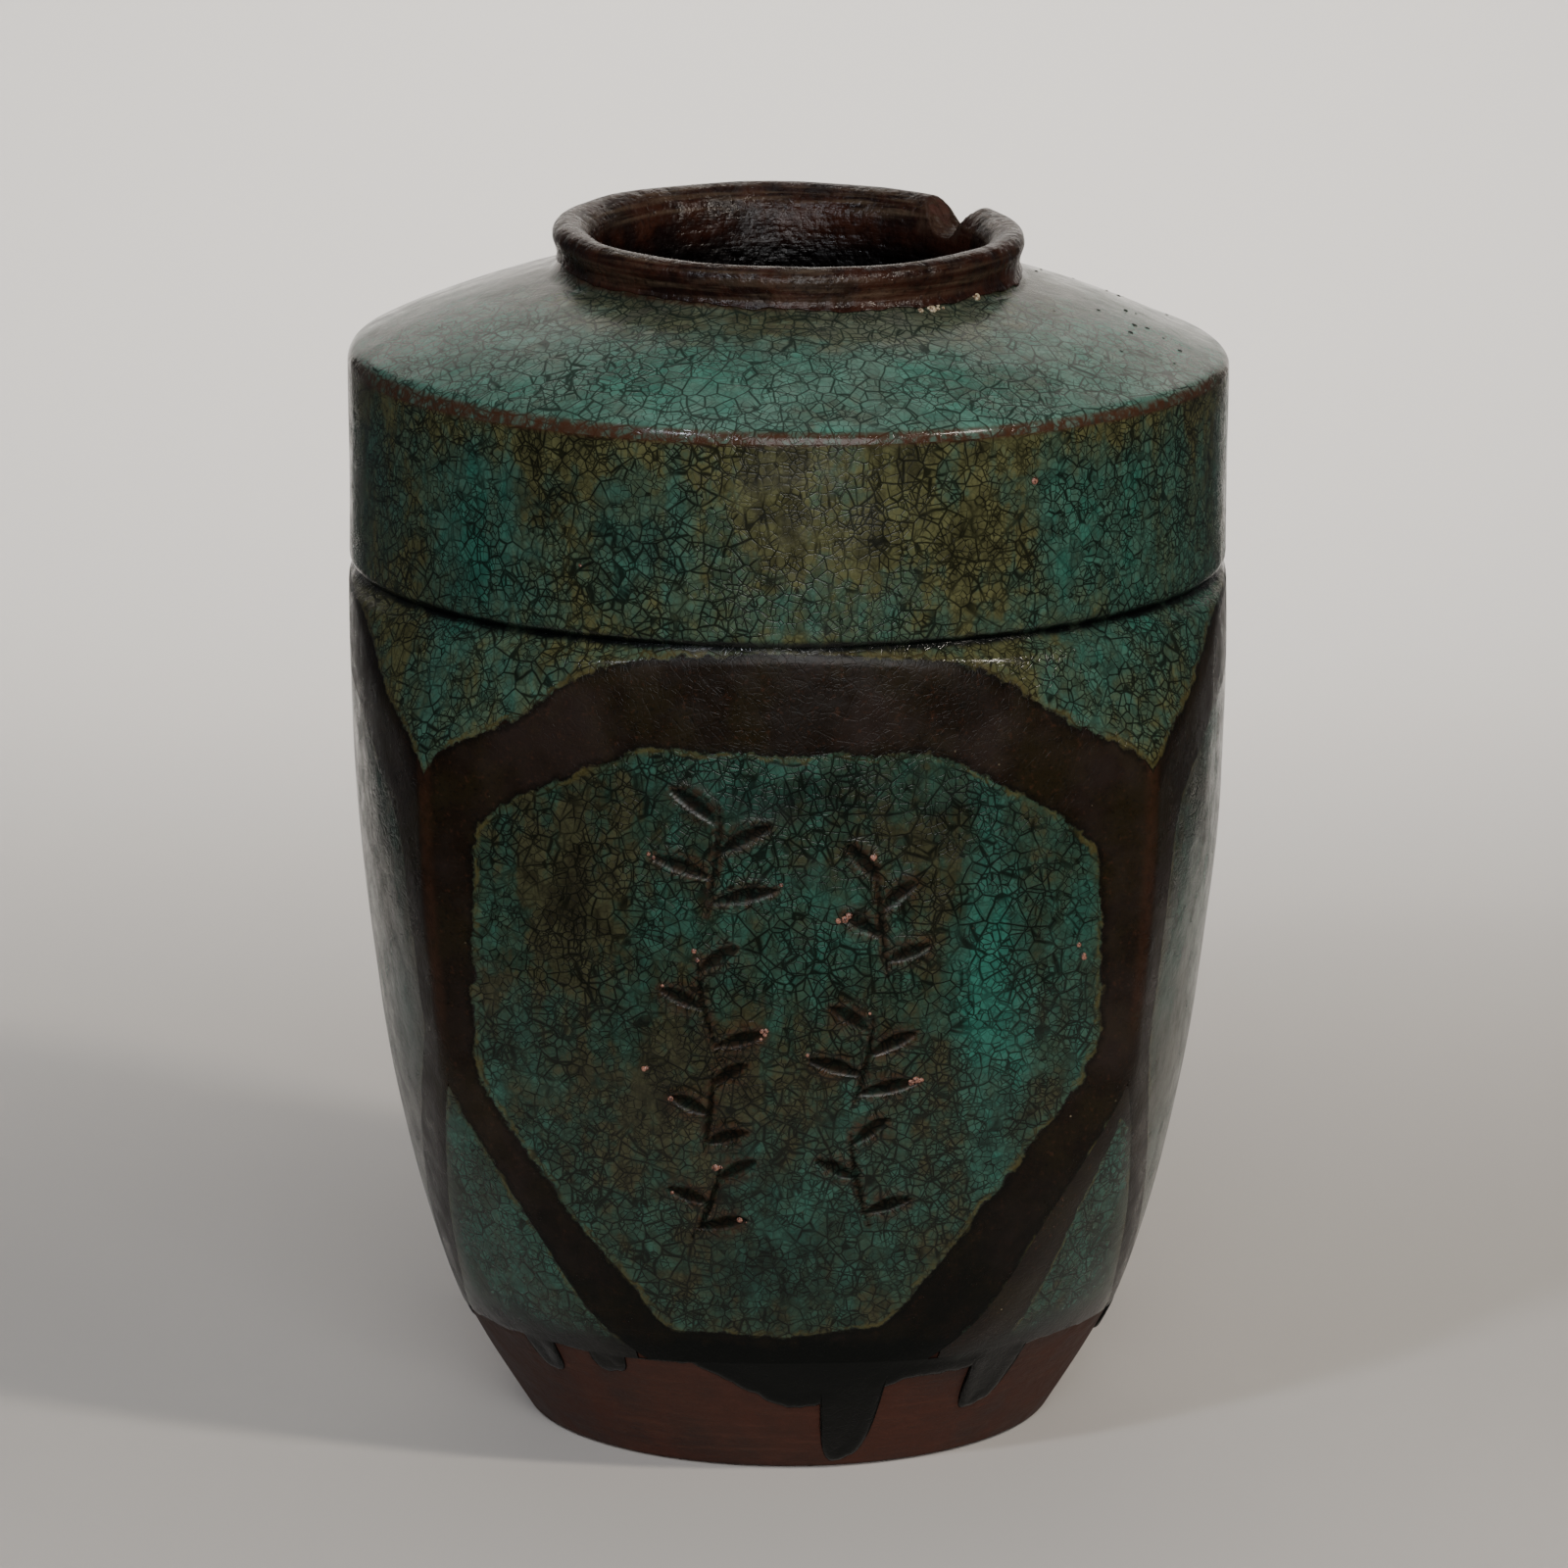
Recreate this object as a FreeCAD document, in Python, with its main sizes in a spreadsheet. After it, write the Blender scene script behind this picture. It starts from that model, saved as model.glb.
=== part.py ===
"""Four-sided stoneware storage jar: thrown and luted clay sections under fused glaze coats."""

import FreeCAD, Part
import os
import Sketcher
from FreeCAD import Placement, Rotation, Vector

# Driving dimensions in millimetres. Z is height above the surface that the jar stands on.
DIMENSIONS = {
    "foot_radius": 73.0,
    "body_radius": 120.7,
    "corner_radius": 141.2,
    "side_radius": 225.0,
    "wall": 8.5,
    "glaze": 0.8,
    "lining": 0.6,
    "slab_height": 10.0,
    "slab_recess": 2.5,
    "slab_land": 14.0,
    "spigot_radius": 68.0,
    "floor_height": 15.0,
    "waist_height": 90.0,
    "groove_height": 241.5,
    "groove_depth": 1.3,
    "groove_half": 2.3,
    "lap": 5.0,
    "tongue": 3.0,
    "luting_height": 291.0,
    "edge_height": 296.5,
    "edge_drop": 4.5,
    "edge_round": 5.0,
    "dome_radius": 380.0,
    "neck_seat_height": 319.7,
    "neck_seat_radius": 66.0,
    "neck_socket_radius": 61.0,
    "neck_bottom": 305.0,
    "neck_radius": 62.5,
    "neck_top": 327.0,
    "mouth_radius": 53.0,
    "roll_height": 330.0,
    "roll_radius": 59.5,
    "roll_thickness": 5.4,
    "slip": 0.6,
    "chip_radius": 11.0,
    "chip_height": 338.5,
    "chip_x": 46.5,
    "chip_y": 38.5,
    "hem_bottom": 24.0,
    "hem_top": 36.0,
    "field_bottom": 45.0,
    "field_top": 213.5,
    "field_half": 84.0,
    "field_foot_half": 27.0,
    "field_head_half": 40.0,
    "frame_top": 237.0,
    "frame_head_half": 48.0,
    "ridge_top": 209.0,
    "ridge_bottom": 118.0,
    "ridge_half": 98.0,
    "frame_foot_half": 44.0,
    "run_width": 16.0,
    "run_bottom": 3.0,
    "reach": 340.0,
}
SIDES = ("front", "right", "back", "left")
CORNERS = ("front_right", "back_right", "back_left", "front_left")
UP = Vector(0, 0, 1)

doc = FreeCAD.newDocument("storage_jar")
sheet = doc.addObject("Spreadsheet::Sheet", "jar")
for row, (alias, number) in enumerate(DIMENSIONS.items(), start=1):
    sheet.set(f"A{row}", alias)
    sheet.set(f"B{row}", str(number))
    sheet.setAlias(f"B{row}", alias)
doc.recompute()

parts = []


def size(expression):
    """The number that an expression over the sheet's cells comes to."""
    return float(sheet.evalExpression(expression))


def keep(item, label):
    """Labels a finished sub-part and lists it for export."""
    item.Label = label
    parts.append(item)
    return item


def turn(item, angle):
    """Turns an object about the jar's axis."""
    item.Placement = Placement(Vector(0, 0, 0), Rotation(UP, angle)).multiply(item.Placement)
    return item


def combine(kind, name, *shapes):
    """A boolean of two or more objects: Cut, MultiCommon or MultiFuse."""
    item = doc.addObject("Part::" + kind, name)
    if kind == "Cut":
        item.Base, item.Tool = shapes
    else:
        item.Shapes = list(shapes)
    return item


# --- solids that are cut, joined and shared ----------------------------------------------------

def place_point(sketch, edge, corner, across, along):
    """Ties a sketch point to the sheet: its distances from the sketch's two axes."""
    for kind, expression, axis in (("DistanceX", across, -2), ("DistanceY", along, -1)):
        if expression == "0":
            sketch.addConstraint(Sketcher.Constraint("PointOnObject", edge, corner, axis))
        else:
            rule = Sketcher.Constraint(kind, -1, 1, edge, corner, size(expression))
            number = sketch.addConstraint(rule)
            sketch.setExpression(f"Constraints[{number}]", expression)


def arc_between(start, end, radius):
    """The minor arc from start to end; a negative radius bends it to the other side."""
    chord = end - start
    half = chord.Length / 2
    sagitta = abs(radius) - (radius * radius - half * half) ** 0.5
    side = Vector(chord.y, -chord.x, 0).normalize()
    middle = (start + end) / 2 + side * (sagitta if radius > 0 else -sagitta)
    return Part.Arc(start, middle, end)


def ring_body(name, outline):
    """A body turned about Z from a closed outline.

    Each entry is (radius, height), or (radius, height, bend) where the edge to the next entry is
    an arc of radius bend. All are expressions over the sheet.
    """
    body = doc.addObject("PartDesign::Body", name)
    sketch = body.newObject("Sketcher::SketchObject", name + "_outline")
    plane = next(item for item in body.Origin.OriginFeatures if item.Role == "XZ_Plane")
    sketch.AttachmentSupport = [(plane, "")]
    sketch.MapMode = "FlatFace"
    places = [Vector(size(entry[0]), size(entry[1]), 0) for entry in outline]
    count = len(places)
    ends = []
    for k, entry in enumerate(outline):
        start, end = places[k], places[(k + 1) % count]
        if len(entry) == 2:
            sketch.addGeometry(Part.LineSegment(start, end), False)
            ends.append((1, 2))
        else:
            bend = size(entry[2])
            sketch.addGeometry(arc_between(start, end, bend), False)
            ends.append((1, 2) if bend > 0 else (2, 1))
    for k in range(count):
        after = (k + 1) % count
        sketch.addConstraint(Sketcher.Constraint("Coincident", k, ends[k][1], after, ends[after][0]))
    for k, entry in enumerate(outline):
        place_point(sketch, k, ends[k][0], entry[0], entry[1])
        if len(entry) == 3:
            rule = Sketcher.Constraint("Radius", k, abs(size(entry[2])))
            number = sketch.addConstraint(rule)
            sketch.setExpression(f"Constraints[{number}]", f"abs({entry[2]})")
    turned = body.newObject("PartDesign::Revolution", name + "_turned")
    turned.Profile = sketch
    turned.ReferenceAxis = (sketch, ["V_Axis"])
    turned.Angle = 360.0
    doc.recompute()
    return body


def disc(name, radius, low, high):
    """An upright cylinder on the jar's axis between two heights."""
    item = doc.addObject("Part::Cylinder", name)
    item.setExpression("Radius", radius)
    item.setExpression("Height", f"{high} - ({low})")
    item.setExpression("Placement.Base.z", low)
    return item


def band(name, low, high):
    """A disc wider than the jar, which takes a level band out of its wall or its glaze."""
    return disc(name, "jar.reach / 2", low, high)


def prism(name, outline):
    """A bar that runs out along -Y, its section symmetrical about the YZ plane.

    The outline goes from top to bottom down the +X half, in (half_width, height) expressions.
    """
    sketch = doc.addObject("Sketcher::SketchObject", name + "_outline")
    sketch.Placement = Placement(Vector(0, 0, 0), Rotation(Vector(1, 0, 0), 90))
    right = [Vector(size(x), size(z), 0) for x, z in outline]
    left = [Vector(-place.x, place.y, 0) for place in reversed(right)]
    places = right + left
    count = len(places)
    for k, place in enumerate(places):
        sketch.addGeometry(Part.LineSegment(place, places[(k + 1) % count]), False)
    for k in range(count):
        sketch.addConstraint(Sketcher.Constraint("Coincident", k, 2, (k + 1) % count, 1))
    for k, (x, z) in enumerate(outline):
        place_point(sketch, k, 1, x, z)
        sketch.addConstraint(Sketcher.Constraint("Symmetric", k, 1, count - 1 - k, 1, -2))
    item = doc.addObject("Part::Extrusion", name)
    item.Base = sketch
    item.DirMode = "Custom"
    item.Dir = Vector(0, -1, 0)
    item.Solid = True
    item.setExpression("LengthFwd", "jar.reach / 2")
    return item


def quarter(name, angle):
    """A wedge of a quarter turn about the jar's axis, centred on the direction angle from -Y."""
    item = doc.addObject("Part::Cylinder", name)
    item.setExpression("Radius", "jar.reach / 2")
    item.setExpression("Height", "jar.reach")
    item.Angle = 90.0
    return turn(item, angle - 135.0)


# --- the wall: a thrown barrel with four sides beaten to a flatter curve -----------------------

def barrel_outline(inset):
    """Meridian of the thrown barrel, moved in by inset: its swell, then its step to the groove."""
    foot, body, corner = size("jar.foot_radius"), size("jar.body_radius"), size("jar.corner_radius")
    groove, depth, half = size("jar.groove_height"), size("jar.groove_depth"), size("jar.groove_half")
    swell = [
        (foot, 0.0), (foot + 15.5, 24.0), (body - 16.5, 48.0), (body - 2.5, 81.0),
        (body + 10.6, 118.0), (corner - 2.0, 150.0), (corner, 180.0), (corner - 3.5, 206.0),
        (body + 10.0, 220.0), (body + 4.0, 236.5),
    ]
    step = [(body, groove - half), (body - depth, groove)]
    return [(r - inset, z) for r, z in swell], [(r - inset, z) for r, z in step]


def side_outline(inset):
    """Meridian through the middle of a beaten side, moved in by inset."""
    body = size("jar.body_radius")
    curve = [
        (body - 44.0, -2.0), (body - 33.0, 24.0), (body - 24.0, 47.0), (body - 15.5, 77.0),
        (body - 7.0, 122.0), (body - 1.0, 182.0), (body, 222.0),
    ]
    return [(r - inset, z) for r, z in curve], [(body - inset, size("jar.groove_height") + 4.0)]


def turned_solid(name, curve_points, tail_points, set_back):
    """A solid turned about an upright axis that stands set_back behind the jar's own axis.

    The meridian is one smooth curve through curve_points, then straight to each tail point.
    """
    curve = Part.BSplineCurve()
    curve.interpolate([Vector(0, -r, z) for r, z in curve_points])
    behind = size(set_back)
    path = [Vector(0, -r, z) for r, z in curve_points[-1:] + tail_points]
    path.append(Vector(0, behind, path[-1].z))
    path.append(Vector(0, behind, curve_points[0][1]))
    path.append(Vector(0, -curve_points[0][0], curve_points[0][1]))
    lines = [Part.LineSegment(a, b).toShape() for a, b in zip(path, path[1:])]
    profile = doc.addObject("Part::Feature", name + "_profile")
    profile.Shape = Part.Face(Part.Wire([curve.toShape()] + lines))
    item = doc.addObject("Part::Revolution", name)
    item.Source = profile
    item.Axis = UP
    item.setExpression("Base.y", set_back)
    item.Angle = 360.0
    item.Solid = True
    return item


def four_sided(name, inset):
    """The wall's surface moved in by inset, as a solid from the foot to the groove."""
    barrel = turned_solid(name + "_barrel", *barrel_outline(size(inset)), "0 * jar.side_radius")
    set_back = "jar.side_radius - jar.body_radius"
    sides = []
    for k, side in enumerate(SIDES):
        face = turned_solid(f"{name}_{side}", *side_outline(size(inset)), set_back)
        sides.append(turn(face, 90.0 * k))
    return combine("MultiCommon", name, barrel, *sides)


skin = four_sided("skin", "0 * jar.wall")
hollow = combine(
    "MultiCommon", "hollow", four_sided("hollow_wall", "jar.wall"),
    band("hollow_band", "jar.floor_height", "jar.groove_height - jar.lap"),
)
lined = combine(
    "MultiCommon", "lined", four_sided("lined_wall", "jar.wall + jar.lining"),
    band("lined_band", "jar.floor_height + jar.lining", "jar.groove_height - jar.lap"),
)
coat = combine("Cut", "coat", four_sided("glazed", "-jar.glaze"), skin)

# --- clay sections, luted one on another -------------------------------------------------------

INNER = "jar.body_radius - jar.wall"

foot_band = combine(
    "MultiCommon", "foot_band", skin, band("foot_level", "0 * jar.lap", "jar.slab_height"))
spigot = disc("spigot", "jar.spigot_radius", "jar.slab_height", "jar.floor_height")
recess = disc("recess", "jar.foot_radius - jar.slab_land", "-jar.slab_recess", "jar.slab_recess")
keep(combine("Cut", "slab", combine("MultiFuse", "slab_blank", foot_band, spigot), recess), "foot_slab")

rebate = disc("rebate", f"{INNER} + jar.tongue", "jar.groove_height - jar.lap", "jar.groove_height")
wall_core = combine("MultiFuse", "wall_core", hollow, rebate, spigot)
for name, low, high in (
    ("base_wall", "jar.slab_height", "jar.waist_height"),
    ("belly_wall", "jar.waist_height", "jar.groove_height"),
):
    section = combine("MultiCommon", f"{name}_band", skin, band(f"{name}_level", low, high))
    keep(combine("Cut", f"{name}_blank", section, wall_core), name)

keep(ring_body("upper_ring", [
    (INNER, "jar.groove_height - jar.lap"),
    (f"{INNER} + jar.tongue", "jar.groove_height - jar.lap"),
    (f"{INNER} + jar.tongue", "jar.groove_height"),
    ("jar.body_radius - jar.groove_depth", "jar.groove_height"),
    ("jar.body_radius", "jar.groove_height + jar.groove_half"),
    ("jar.body_radius", "jar.luting_height"),
    (f"{INNER} + jar.tongue", "jar.luting_height"),
    (f"{INNER} + jar.tongue", "jar.luting_height - jar.lap"),
    (INNER, "jar.luting_height - jar.lap"),
]), "upper_wall")

EDGE_TOP = "jar.edge_height + jar.edge_drop"
DOME_START = "jar.body_radius - 0.6 * jar.edge_drop"
keep(ring_body("dome_ring", [
    (INNER, "jar.luting_height - jar.lap"),
    (f"{INNER} + jar.tongue", "jar.luting_height - jar.lap"),
    (f"{INNER} + jar.tongue", "jar.luting_height"),
    ("jar.body_radius", "jar.luting_height"),
    ("jar.body_radius", "jar.edge_height", "jar.edge_round"),
    (DOME_START, EDGE_TOP, "jar.dome_radius"),
    ("jar.neck_seat_radius", "jar.neck_seat_height"),
    ("jar.neck_socket_radius", "jar.neck_seat_height"),
    ("jar.neck_socket_radius", "jar.neck_seat_height - jar.wall", "-jar.dome_radius"),
    (f"{INNER} - jar.tongue", "jar.luting_height + 0.2 * jar.wall"),
]), "shoulder")

keep(ring_body("neck_ring", [
    ("jar.mouth_radius", "jar.neck_bottom"),
    ("jar.neck_socket_radius", "jar.neck_bottom"),
    ("jar.neck_socket_radius", "jar.neck_seat_height"),
    ("jar.neck_seat_radius", "jar.neck_seat_height", "-jar.edge_round"),
    ("jar.neck_radius", "jar.neck_top"),
    ("jar.mouth_radius", "jar.neck_top"),
]), "neck")


def rolled_ring(name, thickness):
    """A round ring along the mouth's edge, before the neck and the chip are taken out of it."""
    item = doc.addObject("Part::Torus", name)
    item.setExpression("Radius1", "jar.roll_radius")
    item.setExpression("Radius2", thickness)
    item.setExpression("Placement.Base.z", "jar.roll_height")
    return item


neck_core = disc("neck_core", "jar.neck_radius", "jar.neck_bottom", "jar.neck_top")
chip = doc.addObject("Part::Sphere", "chip")
chip.setExpression("Radius", "jar.chip_radius")
for axis, expression in (("x", "jar.chip_x"), ("y", "jar.chip_y"), ("z", "jar.chip_height")):
    chip.setExpression(f"Placement.Base.{axis}", expression)
roll_relief = combine("MultiFuse", "roll_relief", neck_core, chip)
roll = rolled_ring("roll", "jar.roll_thickness")
keep(combine("Cut", "roll_blank", roll, roll_relief), "rim_roll")

# --- glaze and slip coats on the turned sections -----------------------------------------------

slipped = rolled_ring("slipped", "jar.roll_thickness + jar.slip")
slip_relief = combine("MultiFuse", "slip_relief", roll, neck_core, chip)
keep(combine("Cut", "slip_blank", slipped, slip_relief), "rim_slip")

keep(ring_body("dome_coat", [
    ("jar.body_radius", "jar.edge_height"),
    ("jar.body_radius + jar.glaze", "jar.edge_height", "jar.edge_round + jar.glaze"),
    (f"{DOME_START} + 0.5 * jar.glaze", f"{EDGE_TOP} + 0.8 * jar.glaze", "jar.dome_radius"),
    ("jar.neck_seat_radius", "jar.neck_seat_height + jar.glaze"),
    ("jar.neck_seat_radius", "jar.neck_seat_height", "-jar.dome_radius"),
    (DOME_START, EDGE_TOP, "-jar.edge_round"),
]), "shoulder_glaze")

keep(ring_body("upper_coat", [
    ("jar.body_radius - jar.groove_depth", "jar.groove_height"),
    ("jar.body_radius - jar.groove_depth + jar.glaze", "jar.groove_height"),
    ("jar.body_radius + jar.glaze", "jar.groove_height + jar.groove_half"),
    ("jar.body_radius + jar.glaze", "jar.edge_height"),
    ("jar.body_radius", "jar.edge_height"),
    ("jar.body_radius", "jar.groove_height + jar.groove_half"),
]), "upper_wall_glaze")

keep(combine("Cut", "lining_blank", hollow, lined), "lower_lining")

keep(ring_body("upper_lining_ring", [
    (f"{INNER} - jar.lining", "jar.groove_height - jar.lap"),
    (INNER, "jar.groove_height - jar.lap"),
    (INNER, "jar.luting_height - jar.lap"),
    (f"{INNER} - jar.lining", "jar.luting_height - jar.lap"),
]), "upper_lining")

# --- glaze coats on the four-sided wall ---------------------------------------------------------

FIELD = [
    ("jar.field_head_half", "jar.field_top"),
    ("jar.field_half", "jar.field_top - 24"),
    ("jar.field_half", "jar.ridge_bottom + 12"),
    ("jar.field_half - 6", "jar.ridge_bottom - 6"),
    ("jar.field_foot_half", "jar.field_bottom"),
]
FRAME = [
    ("jar.frame_head_half", "jar.frame_top"),
    ("jar.ridge_half", "jar.ridge_top"),
    ("jar.corner_radius", "jar.ridge_top"),
    ("jar.corner_radius", "jar.ridge_bottom"),
    ("jar.ridge_half - 5", "jar.ridge_bottom"),
    ("jar.frame_foot_half", "jar.hem_top"),
]

frame_bars = []
for k, side in enumerate(SIDES):
    wedge = quarter(f"wedge_{side}", 90.0 * k)
    field_bar = turn(prism(f"field_bar_{side}", FIELD), 90.0 * k)
    frame_bar = turn(prism(f"frame_bar_{side}", FRAME), 90.0 * k)
    frame_bars.append(frame_bar)
    panel = combine("MultiCommon", f"panel_{side}", coat, wedge, frame_bar)
    keep(combine("MultiCommon", f"field_{side}_coat", panel, field_bar), f"field_glaze_{side}")
    keep(combine("Cut", f"frame_{side}_coat", panel, field_bar), f"frame_glaze_{side}")

outside_frames = combine(
    "Cut", "outside_frames", coat, combine("MultiFuse", "all_frames", *frame_bars))
for k, corner in enumerate(CORNERS):
    wedge = quarter(f"wedge_{corner}", 90.0 * k + 45.0)
    level = band(f"level_{corner}", "jar.hem_top", "jar.ridge_bottom")
    piece = combine("MultiCommon", f"spandrel_{corner}", outside_frames, wedge, level)
    keep(piece, f"spandrel_glaze_{corner}")

cap_level = band("cap_level", "jar.ridge_top", "jar.groove_height")
keep(combine("MultiCommon", "cap", outside_frames, cap_level), "cap_glaze")

run = doc.addObject("Part::Box", "run")
run.setExpression("Length", "jar.run_width")
run.setExpression("Width", "jar.reach / 2")
run.setExpression("Height", "jar.hem_top - jar.run_bottom")
run.setExpression("Placement.Base.x", "0.45 * jar.run_width")
run.setExpression("Placement.Base.y", "-jar.reach / 2")
run.setExpression("Placement.Base.z", "jar.run_bottom")
hem_level = band("hem_level", "jar.hem_bottom", "jar.hem_top")
keep(combine("MultiCommon", "hem", coat, combine("MultiFuse", "hem_zone", hem_level, run)), "hem_glaze")

# --- check and export ----------------------------------------------------------------------------

doc.recompute()
for item in doc.Objects:
    if {"Invalid", "Error"} & set(item.State):
        raise RuntimeError(f"{item.Name} did not compute: {item.State}")
for item in parts:
    if item.Shape.isNull() or not item.Shape.isValid() or len(item.Shape.Solids) != 1:
        raise RuntimeError(f"{item.Label}: not one valid solid ({len(item.Shape.Solids)})")

os.makedirs("parts", exist_ok=True)
for item in parts:
    item.Shape.exportStep(f"parts/{item.Label}.step")
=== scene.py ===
"""A four-sided stoneware storage jar: round shoulder, rolled rim, crackled green glaze, brown bands."""

import logging
import math
from dataclasses import dataclass, field
from enum import Enum

import bmesh
import bpy
import numpy as np
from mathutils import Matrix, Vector


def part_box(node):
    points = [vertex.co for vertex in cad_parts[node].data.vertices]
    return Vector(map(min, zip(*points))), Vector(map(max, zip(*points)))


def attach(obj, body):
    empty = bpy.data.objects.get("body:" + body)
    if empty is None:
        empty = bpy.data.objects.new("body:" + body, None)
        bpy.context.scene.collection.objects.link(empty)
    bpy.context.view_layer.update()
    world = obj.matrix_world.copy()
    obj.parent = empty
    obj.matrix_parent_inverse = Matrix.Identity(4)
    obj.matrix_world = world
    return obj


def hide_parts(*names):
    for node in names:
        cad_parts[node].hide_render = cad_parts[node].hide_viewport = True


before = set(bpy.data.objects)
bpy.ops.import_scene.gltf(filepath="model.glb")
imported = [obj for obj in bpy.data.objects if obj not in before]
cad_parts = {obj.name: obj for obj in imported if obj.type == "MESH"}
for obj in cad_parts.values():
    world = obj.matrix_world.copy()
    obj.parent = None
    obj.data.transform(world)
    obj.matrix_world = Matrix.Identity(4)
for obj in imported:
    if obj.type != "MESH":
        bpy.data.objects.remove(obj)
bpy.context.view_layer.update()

LOG = logging.getLogger("jar")
MM = 0.001
ROOT = "root"
Marks = dict[str, np.ndarray]
Place = tuple[float, float, float]

QUARTER = math.pi / 2.0
BEHIND = -0.4  # how far the back of a coat lies inside the clay, in millimetres
NO_BAND = -20.0  # band mark of glaze that lies far outside any brown band


# --- small mathematics ---------------------------------------------------------------------------

def smoothstep(low: float, high: float, value: np.ndarray) -> np.ndarray:
    """Eases from 0 at low to 1 at high.

    Args:
        low: Value where the step starts.
        high: Value where it ends; it may lie below low.
        value: Array to ease.

    Returns:
        Array of the same shape, from 0 to 1.
    """
    part = np.clip((value - low) / (high - low), 0.0, 1.0)
    return part * part * (3.0 - 2.0 * part)


def soft_min(first: np.ndarray, second: np.ndarray, blend: float) -> np.ndarray:
    """Takes the smaller of two arrays and rounds the crease where they cross.

    Args:
        first: One surface's radius.
        second: The other surface's radius.
        blend: Difference over which the crease is rounded.

    Returns:
        The rounded smaller value.
    """
    share = np.clip(blend - np.abs(first - second), 0.0, None) / blend
    return np.minimum(first, second) - share * share * blend / 4.0


def ripple(points: np.ndarray, wavelength: float, seed: int) -> np.ndarray:
    """A smooth, aimless field from crossed waves, for the unevenness of handwork.

    Args:
        points: Positions in millimetres, with x, y and z last.
        wavelength: Typical distance from crest to crest.
        seed: Picks the waves.

    Returns:
        Values of about -1 to 1, one per point.
    """
    waves = np.random.default_rng(seed)
    total = np.zeros(points.shape[:-1])
    for _ in range(7):
        way = waves.normal(size=3)
        way *= waves.uniform(0.6, 1.5) * 2.0 * math.pi / (wavelength * np.linalg.norm(way))
        total += np.sin(points @ way + waves.uniform(0.0, 2.0 * math.pi))
    return total / 3.2


def nearest(points: np.ndarray, line: np.ndarray) -> np.ndarray:
    """Distance from each point to the closest point of a finely divided line.

    Args:
        points: Positions with x, y and z last.
        line: Positions along the line.

    Returns:
        One distance per point.
    """
    flat = points.reshape(-1, 3)
    found = np.empty(len(flat))
    for start in range(0, len(flat), 4000):
        block = flat[start:start + 4000, None, :] - line[None, :, :]
        found[start:start + 4000] = np.sqrt((block * block).sum(axis=2).min(axis=1))
    return found.reshape(points.shape[:-1])


def curve_through(keys: list[tuple[float, float]], at: np.ndarray) -> np.ndarray:
    """Evaluates a smooth curve through key points, without overshoot.

    Args:
        keys: Pairs of position and value, positions rising.
        at: Positions to evaluate.

    Returns:
        Values at those positions.
    """
    place = np.array([key[0] for key in keys])
    value = np.array([key[1] for key in keys])
    step = np.diff(place)
    slope = np.diff(value) / step
    inner = np.where(
        slope[1:] * slope[:-1] > 0.0,
        2.0 * slope[1:] * slope[:-1] / np.where(slope[1:] + slope[:-1] == 0.0, 1.0, slope[1:] + slope[:-1]),
        0.0,
    )
    tangent = np.concatenate([[slope[0]], inner, [slope[-1]]])
    k = np.clip(np.searchsorted(place, at) - 1, 0, len(step) - 1)
    part = np.clip((at - place[k]) / step[k], 0.0, 1.0)
    rise, fall = part * part * (3.0 - 2.0 * part), part * (1.0 - part)
    bend = fall * ((1.0 - part) * tangent[k] - part * tangent[k + 1]) * step[k]
    return value[k] + (value[k + 1] - value[k]) * rise + bend


def around(count: int) -> np.ndarray:
    """Angles of evenly spaced columns round the jar, in radians from the front."""
    return np.arange(count) * 2.0 * math.pi / count


def wrapped(degrees: np.ndarray) -> np.ndarray:
    """Angles in degrees brought between -180 and 180."""
    return (degrees + 180.0) % 360.0 - 180.0


def from_side(turn: np.ndarray) -> np.ndarray:
    """Angle from the middle of the nearest beaten side, in radians, without its sign."""
    return np.abs((turn + QUARTER / 2.0) % QUARTER - QUARTER / 2.0)


def circle(radius: float, turn: np.ndarray) -> np.ndarray:
    """Points on a level circle, where a ripple is read so that it closes on itself."""
    return np.stack([radius * np.sin(turn), -radius * np.cos(turn), turn * 0.0], axis=-1)


def arc(centre: tuple[float, float], radius: float, start: float, end: float, count: int) -> np.ndarray:
    """Points on an arc in the (radius, height) plane.

    Args:
        centre: Arc centre.
        radius: Arc radius.
        start: First angle in degrees, from the outward direction, upwards positive.
        end: Last angle in degrees.
        count: How many points.

    Returns:
        Array of (radius, height) rows.
    """
    turn = np.radians(np.linspace(start, end, count))
    return np.stack([centre[0] + radius * np.cos(turn), centre[1] + radius * np.sin(turn)], axis=1)


def dense(profile: np.ndarray, step: float) -> np.ndarray:
    """Divides a profile evenly.

    Args:
        profile: Rows of (radius, height).
        step: Largest distance between the new points.

    Returns:
        Rows of (radius, height), ends kept.
    """
    run = np.concatenate([[0.0], np.cumsum(np.linalg.norm(np.diff(profile, axis=0), axis=1))])
    at = np.linspace(0.0, run[-1], max(2, int(math.ceil(run[-1] / step)) + 1))
    return np.stack([np.interp(at, run, profile[:, k]) for k in range(2)], axis=1)


# --- the jar's shape -----------------------------------------------------------------------------

class Side(Enum):
    """The four beaten sides, by the quarter turns from the front."""

    FRONT = 0
    RIGHT = 1
    BACK = 2
    LEFT = 3

    @property
    def label(self) -> str:
        """The side's name in node names."""
        return self.name.lower()


class Corner(Enum):
    """The four corners between the sides, by their turn from the front in degrees."""

    FRONT_RIGHT = 45.0
    BACK_RIGHT = 135.0
    BACK_LEFT = 225.0
    FRONT_LEFT = 315.0

    @property
    def label(self) -> str:
        """The corner's name in node names."""
        return self.name.lower()


def edge_of(node: str, axis: int, top: bool) -> float:
    """One face of a node's box, in millimetres."""
    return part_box(node)[1 if top else 0][axis] / MM


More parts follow.
